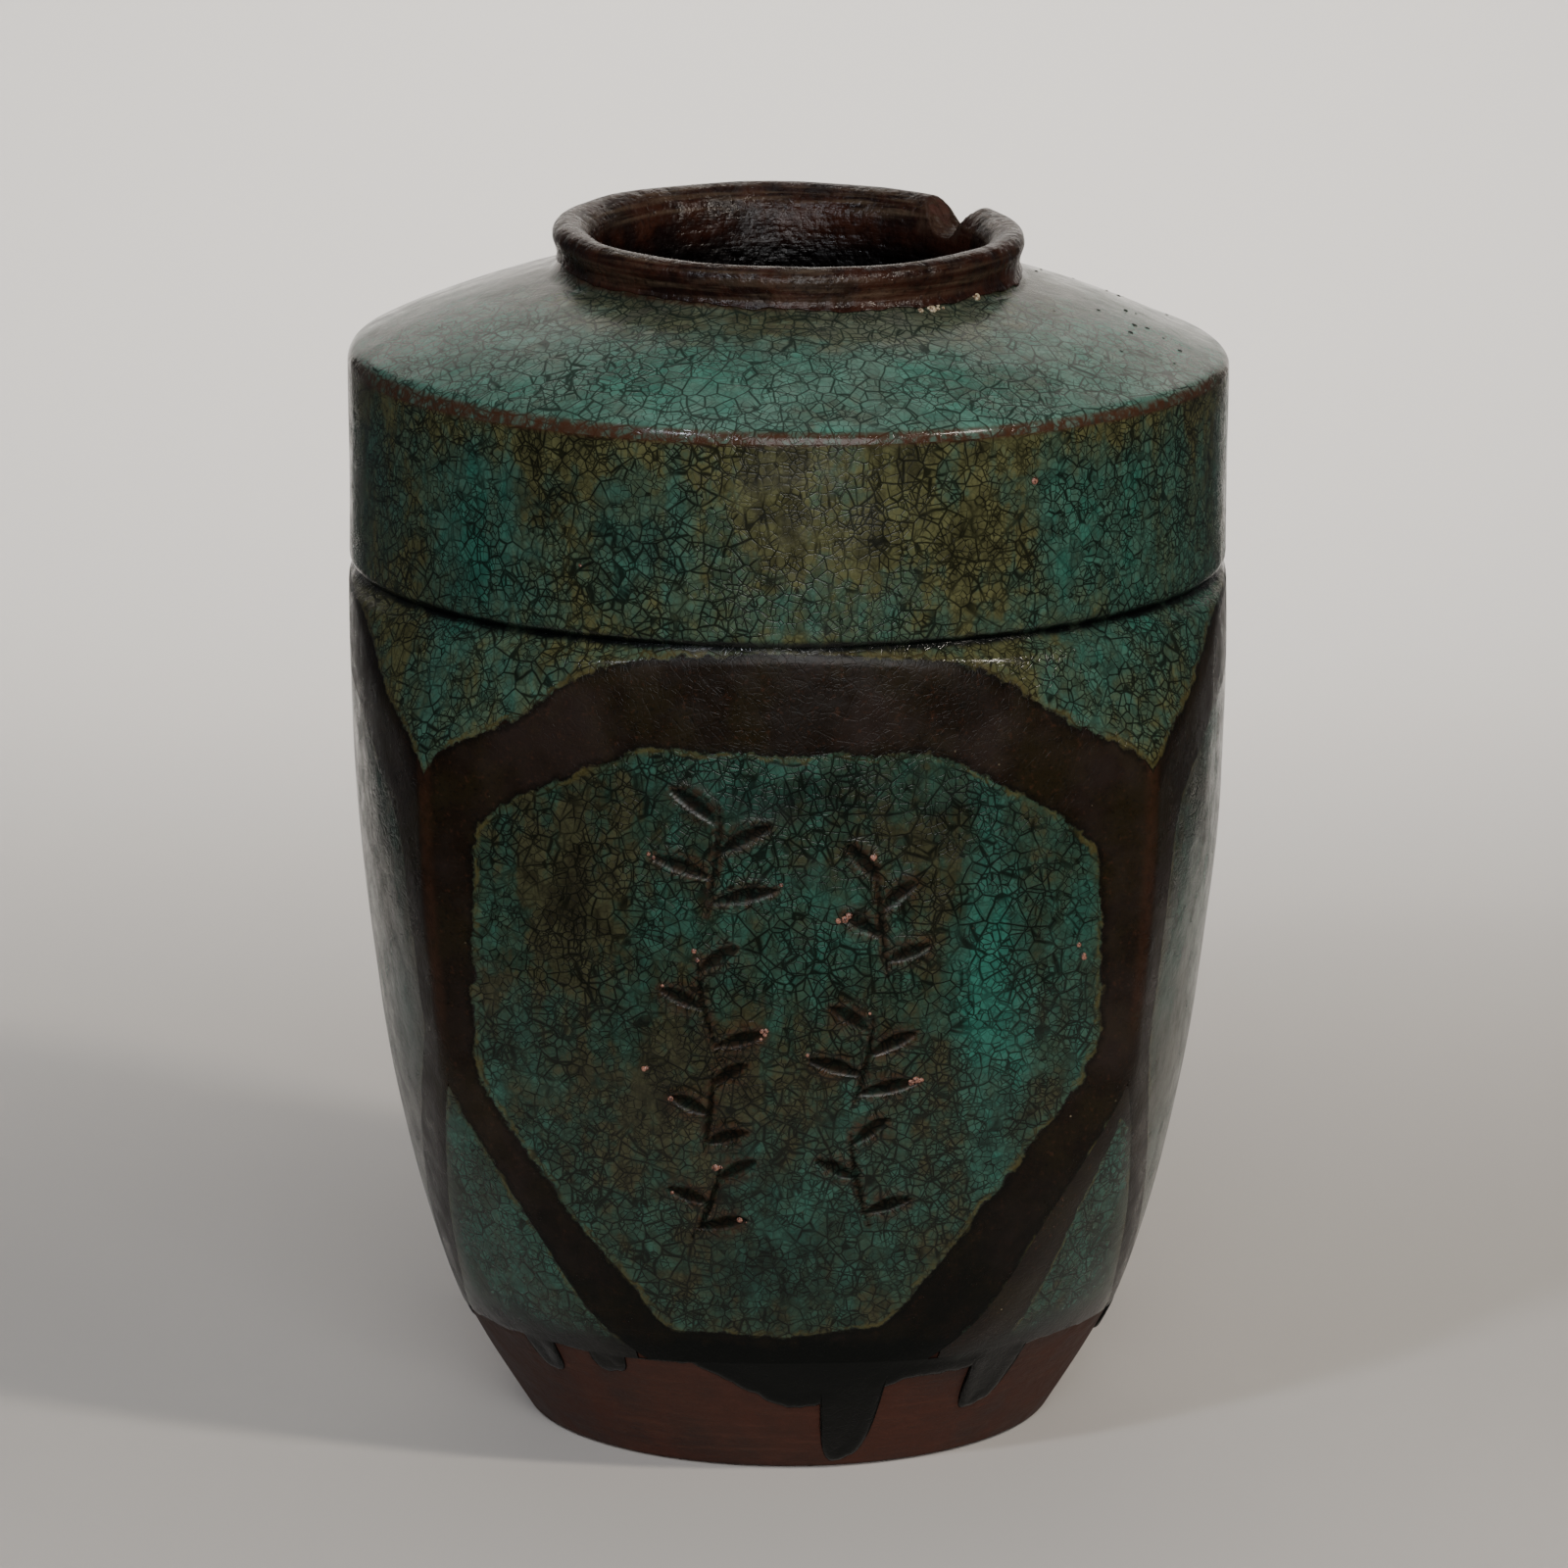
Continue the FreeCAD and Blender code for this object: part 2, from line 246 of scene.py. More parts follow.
@dataclass(frozen=True)
class JarForm:
    """The jar's surface in millimetres: a thrown barrel with four sides beaten flatter."""

    foot_radius: float = 73.0
    glaze: float = 0.8
    side_curve: float = 225.0
    corner_radius: float = 141.2
    crease: float = 2.6
    groove_depth: float = 1.1
    wall: float = 8.5
    edge_round: float = 5.2
    dome_end: tuple[float, float] = (66.6, 320.5)
    dome_bulge: float = 5.0
    shoulder_sunk: float = 0.45
    shoulder_tilt: float = 0.0175
    lip_sunk: float = 0.95
    lip_tilt: float = 1.25
    lip_radius: float = 65.5
    body_radius: float = field(default_factory=lambda: edge_of("upper_wall_glaze", 0, True) - 0.8)
    groove: float = field(default_factory=lambda: edge_of("upper_wall_glaze", 2, False))
    edge: float = field(default_factory=lambda: edge_of("upper_wall_glaze", 2, True))
    hem_top: float = field(default_factory=lambda: edge_of("hem_glaze", 2, True))
    joint: float = field(default_factory=lambda: edge_of("base_wall", 2, False))
    top: float = field(default_factory=lambda: edge_of("rim_slip", 2, True))

    def barrel(self, height: np.ndarray) -> np.ndarray:
        """Radius of the thrown barrel before its sides were beaten in."""
        foot, body, corner = self.foot_radius, self.body_radius, self.corner_radius
        keys = [
            (0.0, foot), (24.0, foot + 15.5), (48.0, body - 16.5), (81.0, body - 2.5),
            (118.0, body + 10.6), (150.0, corner - 2.0), (180.0, corner), (206.0, corner - 3.5),
            (220.0, body + 10.0), (231.0, body + 6.3), (236.5, body + 4.0),
            (self.groove - 1.9, body + 0.4), (self.groove, body - self.groove_depth),
        ]
        return curve_through(keys, height)

    def side_middle(self, height: np.ndarray) -> np.ndarray:
        """Radius at the middle of a beaten side."""
        body = self.body_radius
        keys = [
            (-2.0, body - 44.0), (24.0, body - 33.0), (47.0, body - 24.0), (77.0, body - 15.5),
            (122.0, body - 7.0), (182.0, body - 1.0), (222.0, body), (self.groove + 4.0, body),
        ]
        return curve_through(keys, height)

    def side(self, turn: np.ndarray, height: np.ndarray) -> np.ndarray:
        """Radius of one beaten side.

        Args:
            turn: Angle from the side's middle, in radians.
            height: Height in millimetres.

        Returns:
            Distance from the jar's axis.
        """
        back = self.side_curve - self.body_radius
        reach = self.side_middle(height) + back
        return np.sqrt(reach ** 2 - (back * np.sin(turn)) ** 2) - back * np.cos(turn)

    def turn_at(self, across: np.ndarray, height: np.ndarray) -> np.ndarray:
        """Angle in radians from a side's middle to the point that lies across from it."""
        back = self.side_curve - self.body_radius
        reach = self.side_middle(height) + back
        return np.arctan2(across, np.sqrt(reach ** 2 - across ** 2) - back)

    def clay(self, turn: np.ndarray, height: np.ndarray) -> np.ndarray:
        """Radius of the clay wall up to the groove, with its creases rounded."""
        near = from_side(np.asarray(turn))
        sides = soft_min(self.side(near, height), self.side(QUARTER - near, height), self.crease)
        return soft_min(sides, self.barrel(height), self.crease)

    def crease_heights(self, turn: float) -> tuple[float, float]:
        """Heights where a side's surface meets the barrel, lower and upper.

        Args:
            turn: Angle from the side's middle, in radians.

        Returns:
            The two heights in millimetres.
        """
        heights = np.arange(20.0, self.groove, 0.25)
        inside = self.side(np.full_like(heights, turn), heights) < self.barrel(heights)
        return float(heights[inside][0]), float(heights[inside][-1])

    def hand(self, points: np.ndarray) -> np.ndarray:
        """How far handwork has left the wall inside its true shape, from 0 to 0.7."""
        return 0.35 - 0.22 * ripple(points, 150.0, 11) - 0.10 * ripple(points, 46.0, 12)

    def at(self, turn: np.ndarray, height: np.ndarray, radius: np.ndarray) -> np.ndarray:
        """Points at an angle, height and radius, with the wall's unevenness taken in.

        Args:
            turn: Angles from the front in radians, rising towards the right.
            height: Heights in millimetres.
            radius: Radii in millimetres.

        Returns:
            Array of x, y and z in millimetres.
        """
        turn, height, radius = np.broadcast_arrays(turn, height, radius)
        points = np.stack([radius * np.sin(turn), -radius * np.cos(turn), height], axis=-1)
        ease = smoothstep(0.0, 20.0, height)[..., None]
        trim = self.hand(points)[..., None] * ease * np.array([1.0, 1.0, 0.0])
        points = points - trim * points / np.maximum(radius, 1.0)[..., None]
        return self.settle(points)

    def neck(self, height: np.ndarray) -> np.ndarray:
        """Radius of the glaze where the shoulder sweeps up into the neck."""
        keys = [(319.0, 71.2), (320.5, 66.6), (322.3, 64.7), (324.4, 63.7), (327.0, 63.3), (331.0, 63.3)]
        return curve_through(keys, height)

    def settle(self, points: np.ndarray) -> np.ndarray:
        """Sinks the shoulder to the right and the lip to the front, as they softened in the kiln."""
        tilt = self.shoulder_sunk + self.shoulder_tilt * points[..., 0]
        lean = smoothstep(290.0, 306.0, points[..., 2]) * tilt
        high = smoothstep(self.top - 15.5, self.top - 9.0, points[..., 2])
        front = np.clip(-points[..., 1] / self.lip_radius, -1.0, 1.0)
        drop = lean + high * (self.lip_sunk + self.lip_tilt * front)
        return points - drop[..., None] * np.array([0.0, 0.0, 1.0])


FORM = JarForm()


# --- meshes ----------------------------------------------------------------------------------------

def to_mesh(name: str, points: np.ndarray, faces: np.ndarray, marks: Marks) -> bpy.types.Object:
    """Makes a smooth-shaded object, in metres, with its sharp edges marked.

    Args:
        name: Object name.
        points: Positions in millimetres.
        faces: Rows of four vertex numbers.
        marks: Values per vertex, stored as attributes.

    Returns:
        The new object, at the origin.
    """
    mesh = bpy.data.meshes.new(name)
    mesh.from_pydata((points * MM).tolist(), [], faces.tolist())
    mesh.shade_smooth()
    mesh.set_sharp_from_angle(angle=math.radians(55.0))
    for label, values in marks.items():
        layer = mesh.attributes.new(label, "FLOAT", "POINT")
        layer.data.foreach_set("value", values.astype(np.float32))
    made = bpy.data.objects.new(name, mesh)
    bpy.context.scene.collection.objects.link(made)
    return made


def quads(a: np.ndarray, b: np.ndarray, c: np.ndarray, d: np.ndarray) -> np.ndarray:
    """Rows of four vertex numbers from four equal arrays of them."""
    return np.stack([a, b, c, d], axis=-1).reshape(-1, 4)


def grid_faces(index: np.ndarray) -> np.ndarray:
    """Faces of a grid of vertex numbers, rows rising and columns turning to the right."""
    return quads(index[:-1, :-1], index[:-1, 1:], index[1:, 1:], index[1:, :-1])


def shell(name: str, outer: np.ndarray, inner: np.ndarray, marks: Marks, around: bool) -> bpy.types.Object:
    """Makes a closed coat between two grids of the same layout.

    Args:
        name: Object name.
        outer: Grid of points, rows rising and columns turning to the right as seen from outside.
        inner: The grid behind it.
        marks: Values per grid point.
        around: True where the last column joins the first.

    Returns:
        The new object.
    """
    rows, columns = outer.shape[:2]
    index = np.arange(rows * columns).reshape(rows, columns)
    if around:
        index = np.concatenate([index, index[:, :1]], axis=1)
    behind = index + rows * columns

    faces = [
        grid_faces(index),
        quads(behind[1:, :-1], behind[1:, 1:], behind[:-1, 1:], behind[:-1, :-1]),
        quads(behind[0, :-1], behind[0, 1:], index[0, 1:], index[0, :-1]),
        quads(index[-1, :-1], index[-1, 1:], behind[-1, 1:], behind[-1, :-1]),
    ]
    if not around:
        faces.append(quads(index[:-1, 0], index[1:, 0], behind[1:, 0], behind[:-1, 0]))
        faces.append(quads(behind[:-1, -1], behind[1:, -1], index[1:, -1], index[:-1, -1]))
    points = np.concatenate([outer.reshape(-1, 3), inner.reshape(-1, 3)])
    doubled = {label: np.tile(values.reshape(-1), 2) for label, values in marks.items()}
    return to_mesh(name, points, np.concatenate(faces), doubled)


def merge_poles(piece: bpy.types.Object) -> None:
    """Joins the points that meet on the axis, so that the piece is closed there."""
    work = bmesh.new()
    work.from_mesh(piece.data)
    bmesh.ops.remove_doubles(work, verts=work.verts, dist=1.0e-7)
    bmesh.ops.delete(work, geom=[edge for edge in work.edges if edge.is_wire], context="EDGES")
    work.to_mesh(piece.data)
    work.free()


def adopt(piece: bpy.types.Object, material: bpy.types.Material, slot: str, *nodes: str) -> None:
    """Dresses a piece, puts it on the jar and lets it stand for its nodes.

    Args:
        piece: The finished object.
        material: Its material.
        slot: Not used.
        *nodes: Nodes that it replaces.
    """
    piece.data.materials.clear()
    piece.data.materials.append(material)
    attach(piece, ROOT)
    if nodes:
        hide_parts(*nodes)
    stands_for = ", ".join(nodes) or "itself"
    LOG.info("%s: %d faces, stands for %s", piece.name, len(piece.data.polygons), stands_for)


# --- finishes --------------------------------------------------------------------------------------

NOISE = "ShaderNodeTexNoise"
CELLS = "ShaderNodeTexVoronoi"
EASE = "ShaderNodeMapRange"
MATH = "ShaderNodeMath"
VECTOR = "ShaderNodeVectorMath"
MIX = "ShaderNodeMix"
Socket = bpy.types.NodeSocket


def linear(colour: str) -> tuple[float, float, float, float]:
    """Turns an sRGB hex colour, such as #20362a, to linear red, green, blue and alpha."""
    parts = [int(colour[k:k + 2], 16) / 255.0 for k in (1, 3, 5)]
    lit = [part / 12.92 if part <= 0.04045 else ((part + 0.055) / 1.055) ** 2.4 for part in parts]
    return lit[0], lit[1], lit[2], 1.0


@dataclass
class Graph:
    """A node tree under construction."""

    tree: bpy.types.NodeTree

    def add(self, kind: str, links: dict | None = None, out: int | str = 0,
            **settings: object) -> Socket | None:
        """Adds a node with its settings and links.

        Args:
            kind: Node type, such as ShaderNodeMix.
            links: Input name or number to a socket, which is linked, or a value, which is set. A
                value such as #20362a is an sRGB colour.
            out: Which output to hand back.
            **settings: The node's own properties.

        Returns:
            The chosen output, or None for a node that has none.
        """
        made = self.tree.nodes.new(kind)
        for label, value in settings.items():
            setattr(made, label, value)
        for label, value in (links or {}).items():
            if isinstance(value, bpy.types.NodeSocket):
                self.tree.links.new(value, made.inputs[label])
            else:
                coloured = isinstance(value, str) and value.startswith("#")
                made.inputs[label].default_value = linear(value) if coloured else value
        return made.outputs[out] if len(made.outputs) else None


@dataclass
class MaterialGraph(Graph):
    """A material under construction, on the piece's own coordinates in millimetres."""

    name: str
    tree: bpy.types.NodeTree = field(init=False)
    material: bpy.types.Material = field(init=False)
    place: Socket = field(init=False)

    def __post_init__(self) -> None:
        """Makes an empty material."""
        self.material = bpy.data.materials.new(self.name)
        self.material.use_nodes = True
        self.tree = self.material.node_tree
        self.tree.nodes.clear()
        source = self.add("ShaderNodeTexCoord", out="Object")
        self.place = self.add(VECTOR, {0: source, "Scale": 1.0 / MM}, operation="SCALE")

    def patches(self, size: float, low: float, high: float, start: float = 0.0, end: float = 1.0,
                detail: float = 3.0, squash: tuple[float, float, float] | None = None) -> Socket:
        """Noise with blotches about size millimetres across, eased between two of its levels.

        Args:
            size: Typical blotch in millimetres.
            low: Noise level that gives start.
            high: Noise level that gives end.
            start: Value below low.
            end: Value above high.
            detail: Finer octaves.
            squash: Factors on x, y and z; a small one draws the blotches out along that axis.

        Returns:
            The eased value.
        """
        place = self.add(VECTOR, {0: self.place, 1: squash}, operation="MULTIPLY") if squash else self.place
        cloud = self.add(NOISE, {"Vector": place, "Scale": 1.0 / size, "Detail": detail, "Roughness": 0.6})
        return self.add(EASE, {0: cloud, 1: low, 2: high, 3: start, 4: end}, interpolation_type="SMOOTHSTEP")

    def total(self, *terms: Socket | float) -> Socket:
        """The sum of several numbers."""
        result = terms[0]
        for term in terms[1:]:
            result = self.add(MATH, {0: result, 1: term}, operation="ADD")
        return result

    def product(self, *factors: Socket | float) -> Socket:
        """The product of several numbers."""
        result = factors[0]
        for factor in factors[1:]:
            result = self.add(MATH, {0: result, 1: factor}, operation="MULTIPLY")
        return result

    def painted(self, base: Socket | str, *layers: tuple[Socket, Socket | str]) -> Socket:
        """A colour under layers of paint.

        Args:
            base: The lowest colour.
            *layers: Pairs of cover, from 0 to 1, and colour, from the bottom up.

        Returns:
            The resulting colour.
        """
        result = base
        for cover, colour in layers:
            result = self.add(MIX, {0: cover, 6: result, 7: colour}, 2, data_type="RGBA")
        return result

    def finish(self, colour: Socket | str, rough: Socket | float, relief: Socket | float,
               **more: Socket | float) -> bpy.types.Material:
        """Closes the material.

        Args:
            colour: Colour.
            rough: Roughness.
            relief: Height in millimetres.
            **more: Further shader inputs, spaces written as underscores.

        Returns:
            The finished material.
        """
        bump = self.add("ShaderNodeBump", {"Height": relief, "Strength": 1.0, "Distance": MM})
        links = {"Base Color": colour, "Roughness": rough, "Normal": bump}
        links.update({label.replace("_", " "): value for label, value in more.items()})
        shader = self.add("ShaderNodeBsdfPrincipled", links)
        self.add("ShaderNodeOutputMaterial", {"Surface": shader})
        return self.material


@dataclass(frozen=True)
class CrackleGlaze:
    """Copper-green lead glaze, dipped and fired until it ran, then crazed as it cooled.

    It gives the eye deep glass that drifts from emerald to olive in upright streaks, a net of dark
    hairline cracks 2 to 6 mm apart, near-black where it pooled, and iron brown where the bands were
    brushed on under it, with pale patches of painted sheen on the shoulder and the bands. The marks on
    the mesh are: tone, from 0 for olive to 1 for emerald, which on the sides also carries a painted
    reflection streak; band, millimetres inside a brown band; pool, thick dark glaze, which on the sides
    also carries painted shade along the bottom of the field; thin, glaze worn to the clay's colour;
    stroke, cut line; halo, rust round a cut line.
    """

    name: str
    emerald: str = "#265549"
    teal: str = "#2a483d"
    green: str = "#28392d"
    olive: str = "#343423"
    umber: str = "#262418"
    crack: str = "#080a06"
    band: str = "#160f09"
    band_olive: str = "#1c160b"
    pool: str = "#050706"
    thin: str = "#3b2418"
    rust: str = "#3c2417"
    glow: str = "#453f22"
    speck: str = "#8d8068"
    # painted sheen: a pale colour laid in patches over the glaze, standing for reflected light; the share
    # below sets how strongly
    painted_sheen: str = "#7d8a80"
    painted_sheen_share: float = 0.0
    sheen: float = 0.24
    rough: tuple[float, float] = (0.15, 0.30)
    crack_sizes: tuple[tuple[float, float], ...] = ((5.6, 0.36), (3.6, 0.28), (2.1, 0.16))

    def cracks(self, make: MaterialGraph) -> tuple[Socket, Socket]:
        """Draws the net of cracks: long ones, then those that divide each cell again.

        Args:
            make: The material under construction.

        Returns:
            Crack darkness from 0 to 1, and a lightness factor for each small cell.
        """
        drift = make.add(NOISE, {"Vector": make.place, "Scale": 1.0 / 8.0, "Detail": 2.0}, "Color")
        centred = make.add(VECTOR, {0: drift, 1: (-0.5, -0.5, -0.5)}, operation="ADD")
        shift = make.add(VECTOR, {0: centred, "Scale": 1.5}, operation="SCALE")
        bent = make.add(VECTOR, {0: make.place, 1: shift}, operation="ADD")
        net = 0.0
        for size, width in self.crack_sizes:
            gap = make.add(CELLS, {"Vector": bent, "Scale": 1.0 / size}, feature="DISTANCE_TO_EDGE")
            line = make.add(EASE, {0: make.product(gap, size), 1: width * 0.35, 2: width, 3: 1.0, 4: 0.0})
            if size < 6.0:
                line = make.product(line, make.patches(4.0 * size, 0.36, 0.56, 0.25, 1.0))
            net = make.add(MATH, {0: line, 1: net}, operation="MAXIMUM")
        tint = make.add(CELLS, {"Vector": bent, "Scale": 1.0 / self.crack_sizes[1][0]}, "Color")
        value = make.add("ShaderNodeSeparateColor", {0: tint})
        return net, make.add(EASE, {0: value, 1: 0.0, 2: 1.0, 3: 0.80, 4: 1.22})

    def depth(self, make: MaterialGraph) -> Socket:
        """The glaze's own colour, from umber through olive and green to emerald."""
        tone = make.add("ShaderNodeAttribute", out="Fac", attribute_name="tone")
        drift = make.total(
            tone, make.patches(52.0, 0.3, 0.7, -0.14, 0.14, 2.0),
            make.patches(9.0, 0.3, 0.7, -0.15, 0.15, 3.0, (1.0, 1.0, 0.2)),
            make.patches(5.0, 0.3, 0.7, -0.12, 0.12, 4.0))
        steps = [make.add(EASE, {0: drift, 1: low, 2: high, 3: 0.0, 4: 1.0}, interpolation_type="SMOOTHSTEP")
                 for low, high in ((0.05, 0.30), (0.28, 0.50), (0.48, 0.72), (0.70, 1.0))]
        return make.painted(self.umber, *zip(steps, (self.olive, self.green, self.teal, self.emerald)))

    def build(self) -> bpy.types.Material:
        """Makes the material."""
        make = MaterialGraph(self.name)
        net, cell = self.cracks(make)
        band, pool, thin, stroke, halo = (
            make.add("ShaderNodeAttribute", out="Fac", attribute_name=label)
            for label in ("band", "pool", "thin", "stroke", "halo"))
        fleck = make.patches(1.3, 0.3, 0.7, 0.86, 1.12)
        light = make.product(cell, fleck)
        shade = make.add("ShaderNodeCombineXYZ", {0: light, 1: light, 2: light})
        colour = make.add(
            MIX, {0: 1.0, 6: self.depth(make), 7: shade}, 2, data_type="RGBA", blend_type="MULTIPLY")
        reach = make.total(
            band, make.patches(5.0, 0.3, 0.7, -0.9, 0.9), make.patches(1.4, 0.3, 0.7, -0.3, 0.3))
        inside = make.add(EASE, {0: reach, 1: -0.35, 2: 0.35, 3: 0.0, 4: 1.0})
        beside = make.add(MATH, {0: make.total(reach, 0.7)}, operation="ABSOLUTE")
        rim = make.add(EASE, {0: beside, 1: 0.2, 2: 1.2, 3: 1.0, 4: 0.0})
        settled = make.product(inside, make.add(EASE, {0: reach, 1: 0.5, 2: 2.2, 3: 0.6, 4: 0.0}))
        brown = make.painted(
            self.band, (make.patches(21.0, 0.42, 0.62), self.band_olive),
            (make.patches(1.0, 0.5, 0.72, 0.0, 0.6), self.pool),
            (make.patches(1.5, 0.56, 0.74, 0.0, 0.45), self.rust),
            # painted sheen: grey patches on the band that stand for reflected light
            (make.patches(30.0, 0.42, 0.66, 0.0, self.painted_sheen_share), self.painted_sheen), (settled, self.pool))
        open_crack = make.product(net, make.add(EASE, {0: inside, 1: 0.0, 2: 1.0, 3: 0.88, 4: 0.3}))
        hole = make.add(CELLS, {"Vector": make.place, "Scale": 1.0 / 6.5})
        speck = make.product(
            make.add(EASE, {0: hole, 1: 0.03, 2: 0.06, 3: 1.0, 4: 0.0}), make.patches(12.0, 0.52, 0.6),
            make.add(EASE, {0: inside, 1: 0.0, 2: 1.0, 3: 0.1, 4: 0.8}))
        worn = make.product(thin, make.patches(2.6, 0.3, 0.58, 0.35, 1.0))
        gathered = make.total(pool, make.patches(7.0, 0.3, 0.7, -0.16, 0.16))
        deep = make.add(EASE, {0: gathered, 1: 0.08, 2: 0.85, 3: 0.0, 4: 1.0})
        colour = make.painted(
            # painted sheen: pale patches over the glaze that stand for reflected light
            colour, (make.patches(38.0, 0.35, 0.7, 0.0, self.painted_sheen_share), self.painted_sheen),
            (make.product(halo, make.patches(2.2, 0.36, 0.6, 0.15, 0.75)), self.rust),
            (open_crack, self.crack),
            (make.product(rim, make.patches(9.0, 0.42, 0.6, 0.1, 0.7)), self.glow), (inside, brown),
            (worn, self.thin), (make.product(stroke, 0.92), self.pool), (deep, self.pool),
            (speck, self.speck))
        relief = make.total(
            make.product(net, -0.03), make.patches(24.0, 0.0, 1.0, 0.0, 0.42, 1.0),
            make.patches(6.0, 0.0, 1.0, 0.0, 0.10, 1.0), make.patches(1.2, 0.0, 1.0, 0.0, 0.016, 1.0))
        rough = make.total(make.patches(9.0, 0.3, 0.75, *self.rough), make.product(stroke, 0.5))
        shine = make.add(EASE, {0: stroke, 1: 0.0, 2: 0.6, 3: self.sheen, 4: 0.03})
        return make.finish(colour, rough, relief, IOR=1.5, Specular_IOR_Level=shine)


@dataclass(frozen=True)
class FiredClay:
    """Red-brown stoneware clay, trimmed on the wheel and fired bare.

    It gives the eye a dry matt surface with faint level tool marks and darker scorched clouds.
    """

    name: str = "fired_stoneware_clay"
    clay: str = "#3a1c11"
    pale: str = "#4c2b1c"
    scorched: str = "#24130d"

    def build(self) -> bpy.types.Material:
        """Makes the material."""
        make = MaterialGraph(self.name)
        trim = make.patches(1.7, 0.45, 0.75, 0.0, 0.3, 3.0, (0.09, 0.09, 1.0))
        colour = make.painted(
            self.scorched, (make.patches(30.0, 0.32, 0.62, 0.25, 1.0, 4.0), self.clay), (trim, self.pale),
            (make.patches(2.2, 0.62, 0.76, 0.0, 0.4, 4.0, (0.5, 0.5, 1.0)), self.pale),
            (make.patches(0.9, 0.6, 0.75, 0.0, 0.5), self.scorched))
        relief = make.total(
            make.product(trim, 0.4), make.patches(0.8, 0.2, 0.8, 0.0, 0.08),
            make.patches(14.0, 0.2, 0.8, 0.0, 0.7))
        rough = make.patches(30.0, 0.3, 0.7, 0.6, 0.78)
        return make.finish(colour, rough, relief, IOR=1.5, Specular_IOR_Level=0.3)


@dataclass(frozen=True)
class IronSlip:
    """Iron-rich slip wiped over the mouth and down the inside, fired to a toffee-brown skin.

    It gives the eye a lumpy dark brown gloss that breaks to rust where it is thin, with pale ashy
    streaks that follow the lip round, and grey clay where the rim is bitten. Deep inside the neck it
    is painted near black, as painted shade.
    """

    name: str
    dark: str = "#140a08"
    rust: str = "#2d170f"
    ash: str = "#564839"
    # painted shade: near black down inside the neck
    deep: str = "#040202"
    chipped: str = "#33251d"
    ash_share: float = 0.5
    gloss: float = 0.2

    def build(self) -> bpy.types.Material:
        """Makes the material."""
        make = MaterialGraph(self.name)
        thin, ashy, deep = (make.add("ShaderNodeAttribute", out="Fac", attribute_name=label)
                            for label in ("thin", "ash", "deep"))
        level = make.add(VECTOR, {0: make.place, 1: (1.0, 1.0, 0.0)}, operation="MULTIPLY")
        radius = make.add(VECTOR, {0: level}, "Value", operation="LENGTH")
        height = make.add("ShaderNodeSeparateXYZ", {0: make.place}, "Z")
        across = make.add("ShaderNodeSeparateXYZ", {0: make.place}, "X")
        around = make.add("ShaderNodeCombineXYZ", {0: radius, 1: height, 2: make.product(across, 0.07)})
        flow = make.add(NOISE, {"Vector": around, "Scale": 1.0 / 1.5, "Detail": 3.0})
        streak = make.add(EASE, {0: flow, 1: 0.45, 2: 0.68, 3: 0.0, 4: self.ash_share})
        colour = make.painted(
            self.dark, (make.patches(11.0, 0.38, 0.64, detail=4.0), self.rust),
            (make.product(streak, ashy), self.ash),
            (make.patches(1.8, 0.52, 0.72, 0.0, 0.7, 4.0), self.dark),
            # the last layer is painted shade, near black deep inside the neck
            (make.product(thin, make.patches(1.8, 0.3, 0.6, 0.2, 0.9)), self.chipped), (deep, self.deep))
        relief = make.total(
            make.patches(11.0, 0.2, 0.8, 0.0, 0.7), make.patches(2.4, 0.2, 0.8, 0.0, 0.22),
            make.product(flow, 0.25))
        return make.finish(colour, make.patches(2.4, 0.3, 0.7, self.gloss, self.gloss + 0.2), relief, IOR=1.5,
                           Specular_IOR_Level=0.2)


@dataclass(frozen=True)
class BurstGlass:
    """Glaze that blistered round a bead of grit or air and burst as it cooled.

    It gives the eye small rough glossy lumps, dark for kiln grit and pink-brown for broken blisters.
    """

    name: str
    dark: str
    light: str

    def build(self) -> bpy.types.Material:
        """Makes the material."""
        make = MaterialGraph(self.name)
        colour = make.painted(self.dark, (make.patches(0.9, 0.4, 0.6), self.light))
        return make.finish(colour, 0.22, make.patches(0.5, 0.2, 0.8, 0.0, 0.12), IOR=1.5)


